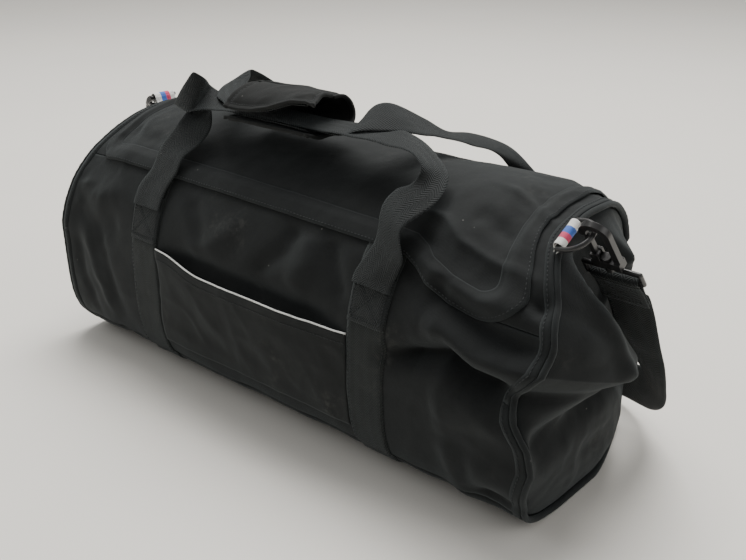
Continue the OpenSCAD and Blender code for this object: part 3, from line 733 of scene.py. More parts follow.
def yoke(side, name, node):
    """Cloth between the zip's end run and the end seam."""
    u, v = np.linspace(0, 1, 16), np.linspace(0, 1, 90)**1.15
    u, v = grid(u if side > 0 else 1 - u, v)
    angle = FRONT_TOP + .3 + (LID_BACK - .1 - FRONT_TOP - .3)*v
    inner = zip_x(angle, ZIP_EDGE)
    x = side*(inner + (PANEL_END - inner)*u)
    shell_sheet(name, x, angle, replaces=node, **BODY_SHELL)


def lid_cloth():
    first = ZIP_DEG + ZIP_EDGE*DEG_PER_MM
    angles = first + (LID_BACK - .4 - first)*np.linspace(0, 1, 100)**1.12
    across, angle = grid(np.linspace(-1, 1, 150), angles)
    x = across*zip_x(angle, -ZIP_EDGE)
    return shell_sheet("lid_cloth", x, angle, replaces="top_lid", **SHELL_LOOK)


for part, first, last, count in (
        ("front", BASE_FRONT + SEAM_GAP, FRONT_TOP, 84),
        ("back", LID_BACK + .4, BASE_BACK - SEAM_GAP, 76),
        ("base", BASE_BACK + SEAM_GAP, 360 + BASE_FRONT - SEAM_GAP, 60)):
    shell_sheet(part + "_cloth", *grid(PANEL_X, np.linspace(first, last, count)),
                replaces=part + "_panel", **BODY_SHELL)
yoke(-1, "left_yoke_cloth", "left_yoke")
yoke(1, "right_yoke_cloth", "right_yoke")
lid = lid_cloth()


# ---------------- zip and storm flap ----------------
def zip_stations():
    """Rows of x, angle, and the outward direction in x and angle, from left to right."""
    end_steps, front_steps = 46, 150
    flat_x, back = ZIP_X - ZIP_CORNER_R, LID_BACK - 3
    left = [(-ZIP_X, back + (CORNER_DEG - back)*i/end_steps, -1, 0)
            for i in range(end_steps)]
    for i in range(13):
        c, s = math.cos(math.radians(i*7.5)), math.sin(math.radians(i*7.5))
        left.append((-flat_x - ZIP_CORNER_R*c,
                     CORNER_DEG - ZIP_CORNER_R*DEG_PER_MM*s, -c, -s))
    front = [(-flat_x + 2*flat_x*i/front_steps, ZIP_DEG, 0, -1)
             for i in range(1, front_steps)]
    right = np.array(left)[::-1]*(-1, 1, -1, 1)
    return np.concatenate([left, front, right])


def beside(line, offset):
    return line[:, 0] + line[:, 2]*offset, line[:, 1] + line[:, 3]*offset*DEG_PER_MM


ZIP_LINE = zip_stations()
ZIP_LENGTH = run_length(skin(*beside(ZIP_LINE, 0)))
# the two halves part a little in the middle of the front run
ZIP_GAP = 0.2 + 1.4*np.where(np.abs(ZIP_LINE[:, 3]) > .999,
                             smooth((19 - np.abs(ZIP_LINE[:, 0]))/7), 0)


def zip_strip(name, inner, outer, top, bottom, **look):
    """Strip along the zip between two offsets, with heights across it above and below."""
    s = np.linspace(0, 1, len(top))
    inner, outer = (np.broadcast_to(edge, len(ZIP_LINE)) for edge in (inner, outer))

    def layer(heights):
        return np.stack([skin(*beside(ZIP_LINE, inner + (outer - inner)*f), h)
                         for f, h in zip(s, heights)], 1)
    uv = pairs(ZIP_LENGTH[:, None], inner[:, None] + (outer - inner)[:, None]*s[None])
    return sheet(name, layer(top), layer(bottom), uv, flip=True, **look)


def storm_flap():
    """Flap rising off the lid and curling down at its free edge."""
    s = np.linspace(0, 1, 18)
    rise = smooth(s/.5)
    curl = 1.2*np.maximum(0, s - .93)/.07
    return zip_strip("storm_flap_cloth", -13.0, 8.0,
                     .35 + 2.75*rise + .35*np.sin(s*math.pi) - curl, .1 + 1.6*rise,
                     mat=SHELL, slot="flap_fabric", replaces="storm_flap")


# one tooth: fraction from tip to root, relative radius
TOOTH_RINGS = [(0, .7), (.15, 1.15), (.5, .95), (1, .9)]


def zip_teeth(name, side, **look):
    """Nylon coil: a run of rounded teeth along the tape's edge."""
    places = np.arange(2, ZIP_LENGTH[-1] - 2, 2.2)
    gap = np.interp(places, ZIP_LENGTH, ZIP_GAP)
    line = np.stack([np.interp(places, ZIP_LENGTH, column) for column in ZIP_LINE.T], 1)
    line[:, 2:] = unit(line[:, 2:])
    tip = skin(*beside(line, side*(gap + .1)), -4.1)
    root = skin(*beside(line, side*(gap + 1.6)), -4.1)
    up = normal(line[:, 0], line[:, 1])
    across = np.cross(unit(root - tip), up)
    verts, faces = [], []
    for i in range(len(places)):
        faces += ring_faces(len(TOOTH_RINGS), 6, first=len(verts))
        for along, swell in TOOTH_RINGS:
            centre = tip[i] + (root[i] - tip[i])*along
            for j in range(6):
                turn = j*math.pi/3
                verts.append(centre + swell*(.62*math.cos(turn)*across[i]
                                             + .85*math.sin(turn)*up[i]))
    return mesh(name, verts, faces, np.zeros((len(verts), 2)), mat=COIL,
                slot="zip_coil", replaces=name.replace("teeth", "coil"), **look)


TAPE_HEIGHTS = np.full(6, -3.6), np.full(6, -4.4)
TAPE_LOOK = dict(mat=ZIP_TAPE, slot="zip_tape")
flap = storm_flap()
flap_stitches = stitches("storm_flap_stitches", skin(*beside(ZIP_LINE, 5.6), 2.95),
                         normal(*beside(ZIP_LINE, 5.6)), "flap_fabric")
zip_strip("body_zip_tape_cloth", ZIP_GAP + 1.75, 13.0, *TAPE_HEIGHTS, body="bag_body",
          replaces="body_zip_tape", **TAPE_LOOK)
lid_tape = zip_strip("lid_zip_tape_cloth", -13.0, -ZIP_GAP - 1.75, *TAPE_HEIGHTS,
                     replaces="lid_zip_tape", **TAPE_LOOK)
zip_teeth("body_zip_teeth", 1, body="bag_body")
lid_teeth = zip_teeth("lid_zip_teeth", -1)

# ---------------- ends ----------------
RIM_DEG = np.arange(0, 360, 2.0)
SIDES = ((-1, "left"), (1, "right"))
# (y, z) lines on the right end where the hook and the strap hang
RIGHT_HOOK_LINE = [(-24, 192), (0, 163)]
RIGHT_STRAP_LINE = [(2, 161), (24, 126), (46, 94), (76, 60)]


def left_bulge(y, z, q):
    """Push of the left end along X; q is 0 at the centre and 1 at the rim."""
    b = -12*(1 - q**2) + 3*vnoise(y/45, z/50)*(1 - q**6)
    return b + 6*bell(z - 96 + .2*y, 16)*(1 - q**8)


def right_bulge(y, z, q):
    """Push of the right end along X; q is 0 at the centre and 1 at the rim."""
    held, held_late = 1 - q**8, 1 - q**10
    b = 30*(1 - q**2.6)*(.55 + .45*smooth((z - 70)/90)) + 10*(1 - q**2)
    b = b*(1 - .62*smooth((y + 5)/75)*smooth((z - 60)/60))
    b += 14*bell(z - 178, 34)*bell(y + 12, 34)*held
    # deep crease that runs back from the big fold, with a roll above and a hollow below it
    crease = 96 + .12*y
    b -= (23*bell(z - crease, 17)*smooth((y + 140)/40)
          * (1 - smooth((y - 20)/60))*held_late)
    b += 10*bell(z - crease - 30, 16)*(1 - smooth((y - 40)/60))*held_late
    b -= 8*bell(z - 58, 20)*bell(y + 10, 60)*held
    # upright ridges and a furrow: distance from its line, width, height, where it begins
    for line, width, rise, start in (
            (y + 52 + (z - 175)*.28, 9, 7, 110),
            (y + 18 + (z - 175)*.55, 10, -7, 105),
            (y - 20 - (z - 200)*.4, 7, 4, 150)):
        b += rise*bell(line, width)*smooth((z - start)/25)*held
    return b


def press_hollows(side, x, y, z, q):
    """Press room into the cloth for the hanging hook, its loop and the strap."""
    if side < 0:
        hollow = ((1 - smooth((np.abs(y - 2) - 23)/20))*smooth((z - 104)/24)
                  * (1 - smooth((z - 214)/14)))
        return x + np.maximum(-251.0 - x, 0)*hollow
    d = polyline_distance(y, z, RIGHT_HOOK_LINE)[0]
    x = x - np.maximum(x - 262.5, 0)*(1 - smooth((d - 13)/20))
    d = polyline_distance(y, z, RIGHT_STRAP_LINE)[0]
    return x - np.maximum(x - 268.0, 0)*(1 - smooth((d - 7)/26))*(1 - q**10)


def end_cloth(side, name, node):
    """Closed disc: a centre vertex and rings out to the rim, in two layers."""
    rings, count = 40, len(RIM_DEG)
    q = np.linspace(0, 1, rings)[:, None]
    centre = np.array([-262.0, 0, 112]) if side < 0 else np.array([268.0, -6, 110])
    rim = skin(side*HALF_LEN, RIM_DEG, -5.4)
    outer = centre + (rim[None] - centre)*q[..., None]
    y, z = outer[..., 1], outer[..., 2]
    bulge = left_bulge(y, z, q) if side < 0 else right_bulge(y, z, q)
    bulge = bulge + 1.6*(ridged(y/33 + 3, z/41 + 7) - .35)*(1 - q**8)*side
    bulge = bulge + .5*vnoise(y/9, z/8)*(1 - q**8)
    outer[..., 0] = press_hollows(side, outer[..., 0] + bulge, y, z, q)
    outer[..., 2] = np.maximum(outer[..., 2], 2.0)
    inner = outer - np.array([side*CLOTH, 0, 0])
    verts = np.concatenate([part for layer in (outer, inner)
                            for part in (layer[0, :1], layer[1:].reshape(-1, 3))])
    below = 1 + (rings - 1)*count

    def at(ring, j, layer):
        return layer*below + 1 + (ring - 1)*count + j % count
    faces = []
    for j in range(count):
        faces += [(0, at(1, j, 0), at(1, j + 1, 0)), (below, at(1, j + 1, 1), at(1, j, 1))]
        for i in range(1, rings - 1):
            faces += [
                (at(i, j, 0), at(i + 1, j, 0), at(i + 1, j + 1, 0), at(i, j + 1, 0)),
                (at(i, j, 1), at(i, j + 1, 1), at(i + 1, j + 1, 1), at(i + 1, j, 1))]
        rim_ring = rings - 1
        faces.append((at(rim_ring, j, 0), at(rim_ring, j, 1),
                      at(rim_ring, j + 1, 1), at(rim_ring, j + 1, 0)))
    if side > 0:
        faces = [face[::-1] for face in faces]
    mesh(name, verts, faces, verts[:, 1:3], replaces=node, **BODY_SHELL)


def piping_cord(side, label):
    path = skin(side*HALF_LEN, RIM_DEG, -1.4) + np.array([side*.8, 0, 0])
    path[:, 2] = np.maximum(path[:, 2], 2.7)
    out = normal(side*HALF_LEN, RIM_DEG)
    along = unit(square_to(np.array([1.0, 0, 0]), out))
    tube(label + "_piping_cord", path, out, -side*along, 2.55 + .12*np.sin(RIM_DEG*1.7),
         sides=12, loop=True, mat=PIPING, body="bag_body", slot="piping_fabric",
         replaces=label + "_piping")


def seam_welt(side, label):
    """Flat stitched welt beside the cord."""
    x = side*(HALF_LEN - np.array([1.6, 4.0, 6.5, 9.0]))
    around = np.append(RIM_DEG, 360.0)
    top = np.stack([skin(xi, around, h) for xi, h in zip(x, (.9, 1.0, .9, .2))], 1)
    bottom = np.stack([skin(xi, around, -.1) for xi in x], 1)
    top[..., 2] = np.maximum(top[..., 2], .35)
    uv = pairs(around[:, None]*MM_PER_DEG, x[None])
    sheet(label + "_seam_welt", top, bottom, uv, flip=side > 0, **BODY_SHELL)
    stitch_x, angles = side*(HALF_LEN - 6.2), np.arange(-36, 216, 1.5)
    stitches(label + "_seam_stitches", skin(stitch_x, angles, 1.05),
             normal(stitch_x, angles), "piping_fabric", "bag_body")


def seam_binding(side, label):
    """Tape binding the seam allowance inside the shell."""
    inset_out = [(10, -1.0), (10, -2.2), (4.4, -2.2), (4.4, -1.0)]
    corners = [skin(side*(HALF_LEN - inset), RIM_DEG, out - CLOTH)
               for inset, out in inset_out]
    count = len(RIM_DEG)
    faces = ring_faces(count, 4, loop=True)
    if side > 0:
        faces = [face[::-1] for face in faces]
    uv = np.stack([np.repeat(RIM_DEG*MM_PER_DEG, 4), np.tile([0, 0, 6, 6], count)], 1)
    mesh(label + "_binding_tape", np.stack(corners, 1).reshape(-1, 3), faces, uv,
         smooth_faces=False, mat=BINDING, body="bag_body", slot="seam_tape",
         replaces=label + "_seam_binding")


for side, label in SIDES:
    end_cloth(side, label + "_end_cloth", label + "_end_cap")
for side, label in SIDES:
    piping_cord(side, label)
    seam_welt(side, label)
    seam_binding(side, label)


# ---------------- bands and handle anchors ----------------
def band(side, label):
    """Webbing band from the lid's back seam, under the base and up to the front zip."""
    name = label + "_band_webbing"
    u, angle = grid(np.linspace(-.5, .5, 13),
                    np.linspace(LID_BACK + 1.5, 360 + FRONT_TOP - 1, 330))
    x = side*BAND_X + u*WEB_W
    edge = np.clip((0.5 - np.abs(u))/.03, 0, 1)
    out = np.where(np.sin(np.radians(angle)) < -.9, 1.7 - relief_at(x, angle),
                   .75 + .75*edge)
    outer, inner = skin(x, angle, out), skin(x, angle, .1)
    outer[..., 2] = np.maximum(outer[..., 2], 0.0)
    inner[..., 2] = np.maximum(inner[..., 2], .25)
    sheet(name, outer, inner, pairs(angle*MM_PER_DEG, u*WEB_W), mat=BAND,
          body="bag_body", slot="band_webbing", replaces=label + "_band")
    runs = np.arange(LID_BACK + 3, BASE_BACK, 1.5), np.arange(-41, ANCHOR_LOW - 1, 1.5)
    for k, across in enumerate((-.44, .44)):
        stitch_x = side*BAND_X + across*WEB_W
        for j, angles in enumerate(runs):
            stitches(f"{name}_stitches_{k}{j}", skin(stitch_x, angles, 1.55),
                     normal(stitch_x, angles), "band_webbing", "bag_body", step=3.9)


def handle_anchor(side, back, name):
    """Sewn-down handle end, pulled in along its box and cross of stitches."""
    first, last = ANCHOR_LOW, ANCHOR_TOP + .8
    if back:
        first, last = 180 - last, 180 - first
    u, angle = grid(np.linspace(-.5, .5, 17), np.linspace(first, last, 44))
    x = side*BAND_X + u*WEB_W
    v = (angle - first)/(last - first)
    low, high, half = .10, .86, .42
    box_v, box_u = (v - low)/(high - low), (u + half)/(2*half)
    # mm from each stitch line
    distances = (np.abs(v - low)*41, np.abs(v - high)*41, np.abs(np.abs(u) - half)*38,
                 np.abs(box_v - box_u)*26, np.abs(box_v - (1 - box_u))*26)
    inside = (v > low - .02) & (v < high + .02)
    pull = np.max([bell(d, 1.6)*inside for d in distances], axis=0)
    out = 1.55 + 1.75*rounded(2*u, 14, .1) - .55*pull + .12*vnoise(x/6, angle*2)
    sheet(name, skin(x, angle, out), skin(x, angle, 1.5),
          pairs(angle*MM_PER_DEG, u*WEB_W), **BODY_WEBBING)
    for k, (u0, v0, u1, v1) in enumerate(box_and_cross(half, low, high)):
        line_x = side*BAND_X + np.linspace(u0, u1, 24)*WEB_W
        line_deg = first + (last - first)*np.linspace(v0, v1, 24)
        stitches(f"{name}_box_{k}", skin(line_x, line_deg, 2.85), normal(line_x, line_deg),
                 "handle_webbing", "bag_body", **BOX_STITCH)


for side, label in SIDES:
    band(side, label)
for back, face in ((False, "front"), (True, "back")):
    for side, label in SIDES:
        handle_anchor(side, back, f"{face}_{label}_handle_end")
for face in ("front", "back"):
    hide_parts(face + "_handle_anchors")

# ---------------- front pocket ----------------
POCKET_HALF = BAND_X - WEB_W/2 - .4
POCKET_LOW = 33                                   # degrees below the front


def mouth_deg(x):
    return 3 + 4.5*smooth((-x - 50)/68)


def pocket_puff(x, v):
    """Fullness of the pocket; v runs from 0 at the bottom to 1 at the mouth."""
    middle = np.clip(np.cos(np.radians(90*x/POCKET_HALF)), 0, 1)
    return .5 + 6.5*middle**.7*smooth(v*1.25)


def pocket_wrinkles(x, v):
    return (.8*vnoise(x/24, v*4)*smooth(v*4)
            + .5*(ridged(x/30 + v*2, v*3 + 5) - .3)*smooth(v*4))


def front_pocket():
    x, v = grid(np.linspace(-POCKET_HALF, POCKET_HALF, 110), np.linspace(0, 1, 46))
    height = mouth_deg(x) + POCKET_LOW
    angle = -POCKET_LOW + height*v
    hem = .7*bell((1 - v)*height*MM_PER_DEG, 9, 6)
    out = pocket_puff(x, v) + pocket_wrinkles(x, v) + hem
    sheet("front_pocket_cloth", skin(x, angle, out + 1.1, True), skin(x, angle, out, True),
          pairs(x, angle*MM_PER_DEG), mat=POCKET, body="bag_body", slot="pocket_fabric",
          replaces="front_pocket")


def pocket_edge():
    """Pale piping along the mouth, and the hem's stitches below it."""
    x = np.linspace(-POCKET_HALF, POCKET_HALF, 140)
    wrinkle = pocket_wrinkles(x, 1.0)
    path = skin(x, mouth_deg(x) + .35, pocket_puff(x, 1.0) + wrinkle + .9, True)
    forward = unit(np.gradient(path, axis=0))
    out = unit(square_to(np.array([0, -1, .3]), forward))
    tube("pocket_piping_cord", path, out, np.cross(forward, out), .8, sides=8, mat=WHITE,
         body="bag_body", slot="white_piping", replaces="pocket_piping")
    angle = mouth_deg(x) - 3.6
    stitches("pocket_hem_stitches",
             skin(x, angle, pocket_puff(x, .93) + wrinkle + 1.95, True),
             normal(x, angle), "pocket_fabric", "bag_body")


front_pocket()
pocket_edge()

# the lid's parts get their placement baked into their meshes (metres)
for part in (lid, flap, flap_stitches, lid_tape, lid_teeth):
    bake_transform(part)

# ---------------- handles ----------------
# Edge points (x, y, z) from the left anchor over the grip to the right anchor.
FRONT_OUTER = [
    (-157.5, -106.5, 187), (-150, -98, 201), (-147, -88, 220), (-139, -76, 237),
    (-141, -62, 247), (-152, -48, 249), (-151, -56, 254), (-145, -70, 258),
    (-121, -75, 255), (-112, -74, 257), (-101, -70, 259), (-90, -67, 259.5),
    (-76, -64, 260.5), (-40, -63, 260.8), (10, -62, 261), (48, -62, 261.5),
    (78, -62, 262.5), (107, -62, 262), (125, -62, 262), (138, -64, 259.5),
    (148, -68, 251), (143, -74, 240), (133, -80, 235), (127, -88, 223),
    (130, -98, 201), (126, -104, 189)]
FRONT_INNER = [
    (-118, -106.5, 189), (-112, -99, 203), (-109, -91, 218), (-102, -76, 229),
    (-101, -64, 243), (-117, -51, 257), (-122, -56, 273), (-114, -71, 291),
    (-108, -62, 285), (-122, -45, 274), (-117, -37, 266.5), (-104, -33, 260.5),
    (-78, -29, 260.5), (-40, -26, 260.8), (10, -25, 261), (48, -24, 262),
    (72, -25, 264), (92, -27, 265), (114, -26, 260), (134, -30, 251),
    (156, -44, 241), (168, -74, 231), (159, -100, 217), (160, -106, 207),
    (166, -110, 195), (163, -109.5, 187)]
BACK_HANDLE_FRONT = [
    (-159.5, 104, 190), (-160.5, 90, 213), (-163, 54, 247), (-150, 15, 262),
    (-128, -22, 270), (-121, -38, 267), (-113, -46, 265), (-94, -55, 265),
    (-80, -59, 262), (-72, -60, 258.8), (-40, -59, 258.4), (10, -58, 258.4),
    (46, -58, 258.8), (62, -59, 262), (72, -55, 265), (82, -47, 266),
    (97, -32, 265), (103, -8, 258), (103, 15, 252), (113, 40, 243),
    (122, 65, 233), (124, 85, 216), (122, 99, 195)]
BACK_HANDLE_REAR = [
    (-121.5, 104, 192), (-122, 90, 215), (-126, 54, 251), (-119, 30, 268),
    (-116, 8, 280), (-114, -2, 283), (-107, -9, 279), (-98, -24, 271),
    (-88, -27, 264), (-72, -22, 258.8), (-40, -21, 258.4), (10, -20, 258.4),
    (46, -21, 259.5), (53, -26, 266), (56, -23, 275), (62, -18, 280),
    (72, -8, 279), (78, 22, 263), (84, 47, 248), (92, 72, 243),
    (112, 100, 230), (142, 99, 213), (157, 103, 195)]


def sewn_points(side, across, back):
    """Two points on the sewn end below the hinge line, lower one first."""
    angles = np.array([ANCHOR_TOP - 5.0, ANCHOR_TOP - .8])
    return skin(side*BAND_X + across*WEB_W, 180 - angles if back else angles, 4.35)


def handle(label, left_edge, right_edge, back):
    """left_edge and right_edge leave the left anchor on its left and right sides."""
    edges = []
    for points, across in ((left_edge, -.5), (right_edge, .5)):
        # the right anchor is met by the same edge, which is why the side carries over
        edges.append(spline(np.concatenate([
            sewn_points(-1, across, back), points,
            sewn_points(1, RIGHT_MEET[label, across], back)[::-1]]), 8))
    obj = webbing(label + "_webbing", *edges, crown=.5, waviness=.5, mat=WEBBING,
                  slot="handle_webbing", replaces=label)
    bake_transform(obj)


# which side of the right anchor each edge ends on, by its side of the left anchor
RIGHT_MEET = {(label, across): across
              for label in ("front_handle", "back_handle") for across in (-.5, .5)}
handle("front_handle", FRONT_OUTER, FRONT_INNER, back=False)
handle("back_handle", BACK_HANDLE_FRONT, BACK_HANDLE_REAR, back=True)

# ---------------- padded grip wrap ----------------
WRAP_X0, WRAP_X1 = box_mm("wrap_shell")[0][0] - 4, box_mm("wrap_shell")[1][0] - 3
WRAP_ROWS = 96
# height of the flap's free edge: fraction along the wrap, z
FLAP_EDGE_Z = [(0, 265.5), (.15, 265.5), (.3, 267), (.5, 273), (.75, 282.5), (.9, 284.5),
               (1, 283)]


def wrap_shell_line(w):
    """Mid line (y, z) under and behind the handles at w = 0 (left end) to 1 (right)."""
    return [(-71 - w, 257.0 + 1.5*w), (-60, 255.4), (-45, 254.4), (-30, 254.4),
            (-18, 255.6), (-9.5, 259.5), (-6.5, 266), (-9, 273.5), (-16, 279),
            (-23, 281), (-29.1, 281.4)]


def wrap_flap_line(w):
    """Mid line (y, z) of the flap from its fold forward; it lifts to the right."""
    open_ = smooth((w - .25)/.6)
    edge_z = table_at(w, FLAP_EDGE_Z)
    return [(-29.1 - 41.5*q, 281.4 + (edge_z - 281.4)*q**1.7
             + (2.6 + 1.2*open_)*math.sin(math.pi*q)**.9)
            for q in (0, .12, .25, .4, .55, .7, .82, .92, 1)]


def wrap_padding(name, is_flap, columns, body, node):
    """Padded sheet on its mid line; returns the object and its outer grid."""
    line = wrap_flap_line if is_flap else wrap_shell_line
    outer, inner = np.zeros((2, WRAP_ROWS, columns, 3))
    uv = np.zeros((WRAP_ROWS, columns, 2))
    for i, w in enumerate(np.linspace(0, 1, WRAP_ROWS)):
        curve = spline(line(w), 12)
        length = run_length(curve)
        q = np.linspace(0, length[-1], columns)
        curve = np.stack([np.interp(q, length, curve[:, k]) for k in (0, 1)], 1)
        tangent = unit(np.gradient(curve, axis=0))
        out = np.stack([tangent[:, 1], -tangent[:, 0]], 1)
        from_end = min(w, 1 - w)*(WRAP_X1 - WRAP_X0)
        from_edge = length[-1] - q if is_flap else q
        # padding swells between the bound edges, and thins at the stitched hems
        pad = 1.15 + 1.25*smooth((from_edge - 4.5)/9)*smooth((from_end - 4)/8)
        pad = pad - .75*bell(from_edge - 5.2, 1.1) - .75*bell(from_end - 5.2, 1.1)
        pad = np.maximum(pad, .55) + .35*vnoise(w*9.0 + 3*is_flap, q/13 + 2)
        binding = .55*bell(from_edge, 3.2, 4) + .55*bell(from_end, 3.2, 4)
        # the right end is cut at a slant
        f = q/length[-1]
        cut = 19*(1 - f)**.8 + 1.5 if is_flap else 9 + 11.5*smooth((f - .35)/.5)
        x = (WRAP_X0 + (WRAP_X1 - WRAP_X0)*w + 1.25*vnoise(q/30, 7.7)
             - cut*smooth((w - .45)/.55))
        wrinkle = (1.2*vnoise(x/26 + 5*is_flap, q/17 + 1)
                   + 1.1*(ridged(x/37 + q/29, q/35 + is_flap) - .3))
        wrinkle = .75*wrinkle*smooth(from_edge/12)
        for layer, thick in ((outer, pad + binding), (inner, -(pad*.75 + binding*.4))):
            layer[i, :, 0] = x
            layer[i, :, 1:] = curve + out*(wrinkle + thick)[:, None]
        uv[i] = np.stack([x, q], 1)
    obj = sheet(name, outer, inner, uv, flip=True, mat=WRAP, body=body,
                slot="wrap_fabric", replaces=node)
    return obj, outer


def blend_flap(obj):
    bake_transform(obj)


def grid_normals(points):
    return unit(np.cross(np.gradient(points, axis=0), np.gradient(points, axis=1)))


def wrap_stitches(label, points, edge, columns, body):
    """Stitches along the long edge and both ends, 5.2 mm in."""
    inset = int(round(5.2/(WRAP_X1 - WRAP_X0)*(WRAP_ROWS - 1)))
    centre = np.array([np.mean([WRAP_X0, WRAP_X1]), -38, 268])
    normals = grid_normals(points)
    made = []
    for letter, place in (("a", (slice(inset, WRAP_ROWS - inset), edge)),
                          ("b", (inset, columns)),
                          ("c", (WRAP_ROWS - 1 - inset, columns))):
        path, out = points[place], normals[place]
        if np.sign(((path - centre)*out).sum(1)).mean() <= 0:
            out = -out
        made.append(stitches(f"{label}_stitches_{letter}", path, out, "wrap_fabric", body,
                             step=3.3))
    return made


def fastening_tape(name, node, points, body, seed):
    """Napped fastening tape on the inner face of the wrap, following its curve."""
    normals = grid_normals(points)
    centre = np.array([np.mean([WRAP_X0, WRAP_X1]), -42, 268.5])
    normals = normals*np.sign(((points - centre)*normals).sum(-1).mean())
    nap = np.random.RandomState(seed).rand(*points.shape[:2])*.4
    nap[[0, -1]] = -.1
    nap[:, [0, -1]] = -.1
    depth = 4.1                                   # from the wrap's outer face
    face = points - normals*(depth + .9 + nap)[..., None]
    sheet(name, points - normals*(depth + .05), face, points[..., :2], mat=FASTENING,
          body=body, slot="fastening_tape", replaces=node)


wrap_shell, shell_grid = wrap_padding("wrap_shell_padding", False, 44, "back_handle",
                                      "wrap_shell")
wrap_flap, flap_grid = wrap_padding("wrap_flap_padding", True, 26, None, "wrap_flap")
blend_flap(wrap_flap)
wrap_stitches("wrap_shell", shell_grid, 3, slice(3, -1), "back_handle")
for part in wrap_stitches("wrap_flap", flap_grid, -4, slice(1, -3), None):
    blend_flap(part)
fastening_tape("wrap_loop_tape", "wrap_loop_patch", shell_grid[8:-8, 2:9], "back_handle",
               seed=6)
fastening_tape("wrap_hook_tape", "wrap_hook_patch", flap_grid[8:-8, -9:-2], "wrap_flap",
               seed=5)


# ---------------- ribbon tabs and strap ends ----------------
def folded_line(points, centre=None):
    """Smooth a folded strip's side view; gives its points, lengths and outward normals."""
    points = spline(points, 3)
    tangent = unit(np.gradient(points, axis=0))
    out = np.stack([-tangent[:, 1], tangent[:, 0]], 1)
    centre = points.mean(0) if centre is None else np.array(centre)
    if ((points - centre)*out).sum() < 0:
        out = -out
    return points, run_length(points), out


def arc(radius, degrees):
    return [(radius*math.cos(a), radius*math.sin(a)) for a in np.radians(degrees)]


def ribbon_tab(label, tail):
    """Ribbon folded round the ring's straight bar, its layers running back to the seam."""
    pivot, axis = joint_pos(label + "_ring_swing"), unit(joint_axis(label + "_ring_swing"))
    tail = unit(square_to(np.array(tail), axis))
    up = np.cross(axis, tail)
    if up[2] < 0:
        up = -up
    # (along the tail, up)
    points, length, out = folded_line(
        [(9.0, 1.0), (6.5, 1.5), (4.6, 2.3), (2.6, 3.3), *arc(3.7, np.arange(66, 295, 12)),
         (2.6, -3.3), (4.6, -2.4), (6.5, -1.6), (9.0, -1.1)])
    half_width = 12.4
    w = np.linspace(-half_width, half_width, 41)
    edge = rounded(w/half_width, 16, .15)
    ripple = .12*vnoise(length[:, None]/5, w[None]/4)
    across = (w[None] + .25*np.sin(length[:, None]/3))[..., None]

    def layer(thick):
        q = points[:, None] + out[:, None]*(thick[None] + ripple)[..., None]
        return pivot + q[..., 0:1]*tail + q[..., 1:2]*up + across*axis
    sheet(label + "_ring_ribbon", layer(.42*edge), layer(-.38*edge),
          pairs(length[:, None], w[None]), mat=RIBBON, body="bag_body",
          slot="ring_ribbon", replaces=label + "_ring_tab")


def strap_end(label, origin, down, across):
    """Webbing folded round the loop's lower bar, sewn through with a box and a cross."""
    name = label + "_strap_end_webbing"
    out_dir = np.cross(across, down)
    # (up from the bar, out)
    points, length, out = folded_line(
        [(-31.5, 1.0), (-24, 1.0), (-14, 1.1), (-7, 1.7), (-3.6, 2.6),
         *arc(3.1, np.arange(150, -151, -15)),
         (-3.6, -2.6), (-7, -1.7), (-14, -1.1), (-24, -1.0), (-33.5, -1.0)],
        centre=(-6, 0))
    s = np.linspace(-1, 1, 25)
    w, edge = s*WEB_W/2, rounded(s, 16, .15)

    def layer(thick):
        q = points[:, None] + out[:, None]*thick[None, :, None]
        return (origin - down*q[..., 0:1] + out_dir*q[..., 1:2]
                + w[None, :, None]*across)

    def blend(obj):
        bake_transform(obj)
    blend(sheet(name, layer(.85*edge), layer(-.8*edge), pairs(length[:, None], w[None]),
                mat=WEBBING, slot="handle_webbing", replaces=label + "_strap_end"))
    for k, (u0, v0, u1, v1) in enumerate(box_and_cross(.4, 9, 28)):
        u, v = np.linspace(u0, u1, 20)*WEB_W, np.linspace(v0, v1, 20)
        # the layers open out towards the bar
        rise = 1.85 + .3*np.clip((14 - v)/7, 0, 1)
        for face, letter in ((1, "f"), (-1, "b")):
            out_face = out_dir*face
            path = (origin + down*v[:, None] + across*u[:, None]
                    + out_face*rise[:, None])
            blend(stitches(f"{name}_box_{k}_{letter}", path, np.tile(out_face, (20, 1)),
                           "handle_webbing", lift=.05, **BOX_STITCH))


ribbon_tab("right", tail=(-.42, .30, -.62))
ribbon_tab("left", tail=(.62, 0, -.62))

# ---------------- shoulder strap ----------------
BAR_DROP = 58.0                                   # hook pivot to the loop's lower bar
RUN_Y, RUN_Z = 135.0, 24.0                        # the run along the back, on the floor
RIGHT_DOWN = -joint_axis("right_swivel_turn")
LEFT_DOWN = -joint_axis("left_swivel_turn")
RIGHT_BAR = joint_pos("right_hook_swing") + RIGHT_DOWN*BAR_DROP
LEFT_BAR = joint_pos("left_hook_swing") + LEFT_DOWN*BAR_DROP
RIGHT_ACROSS, LEFT_ACROSS = np.array([1.0, 0, 0]), np.array([0, 1.0, 0])


def strap(name, node, path, widths):
    """Webbing along a centre path; widths are its directions from edge to edge."""
    centre, across = spline(path, 8), spline(widths, 8)
    across = unit(square_to(across, unit(np.gradient(centre, axis=0))))*WEB_W/2
    webbing(name, centre + across, centre - across, crown=.6, waviness=.7,
            replaces=node, **BODY_WEBBING)


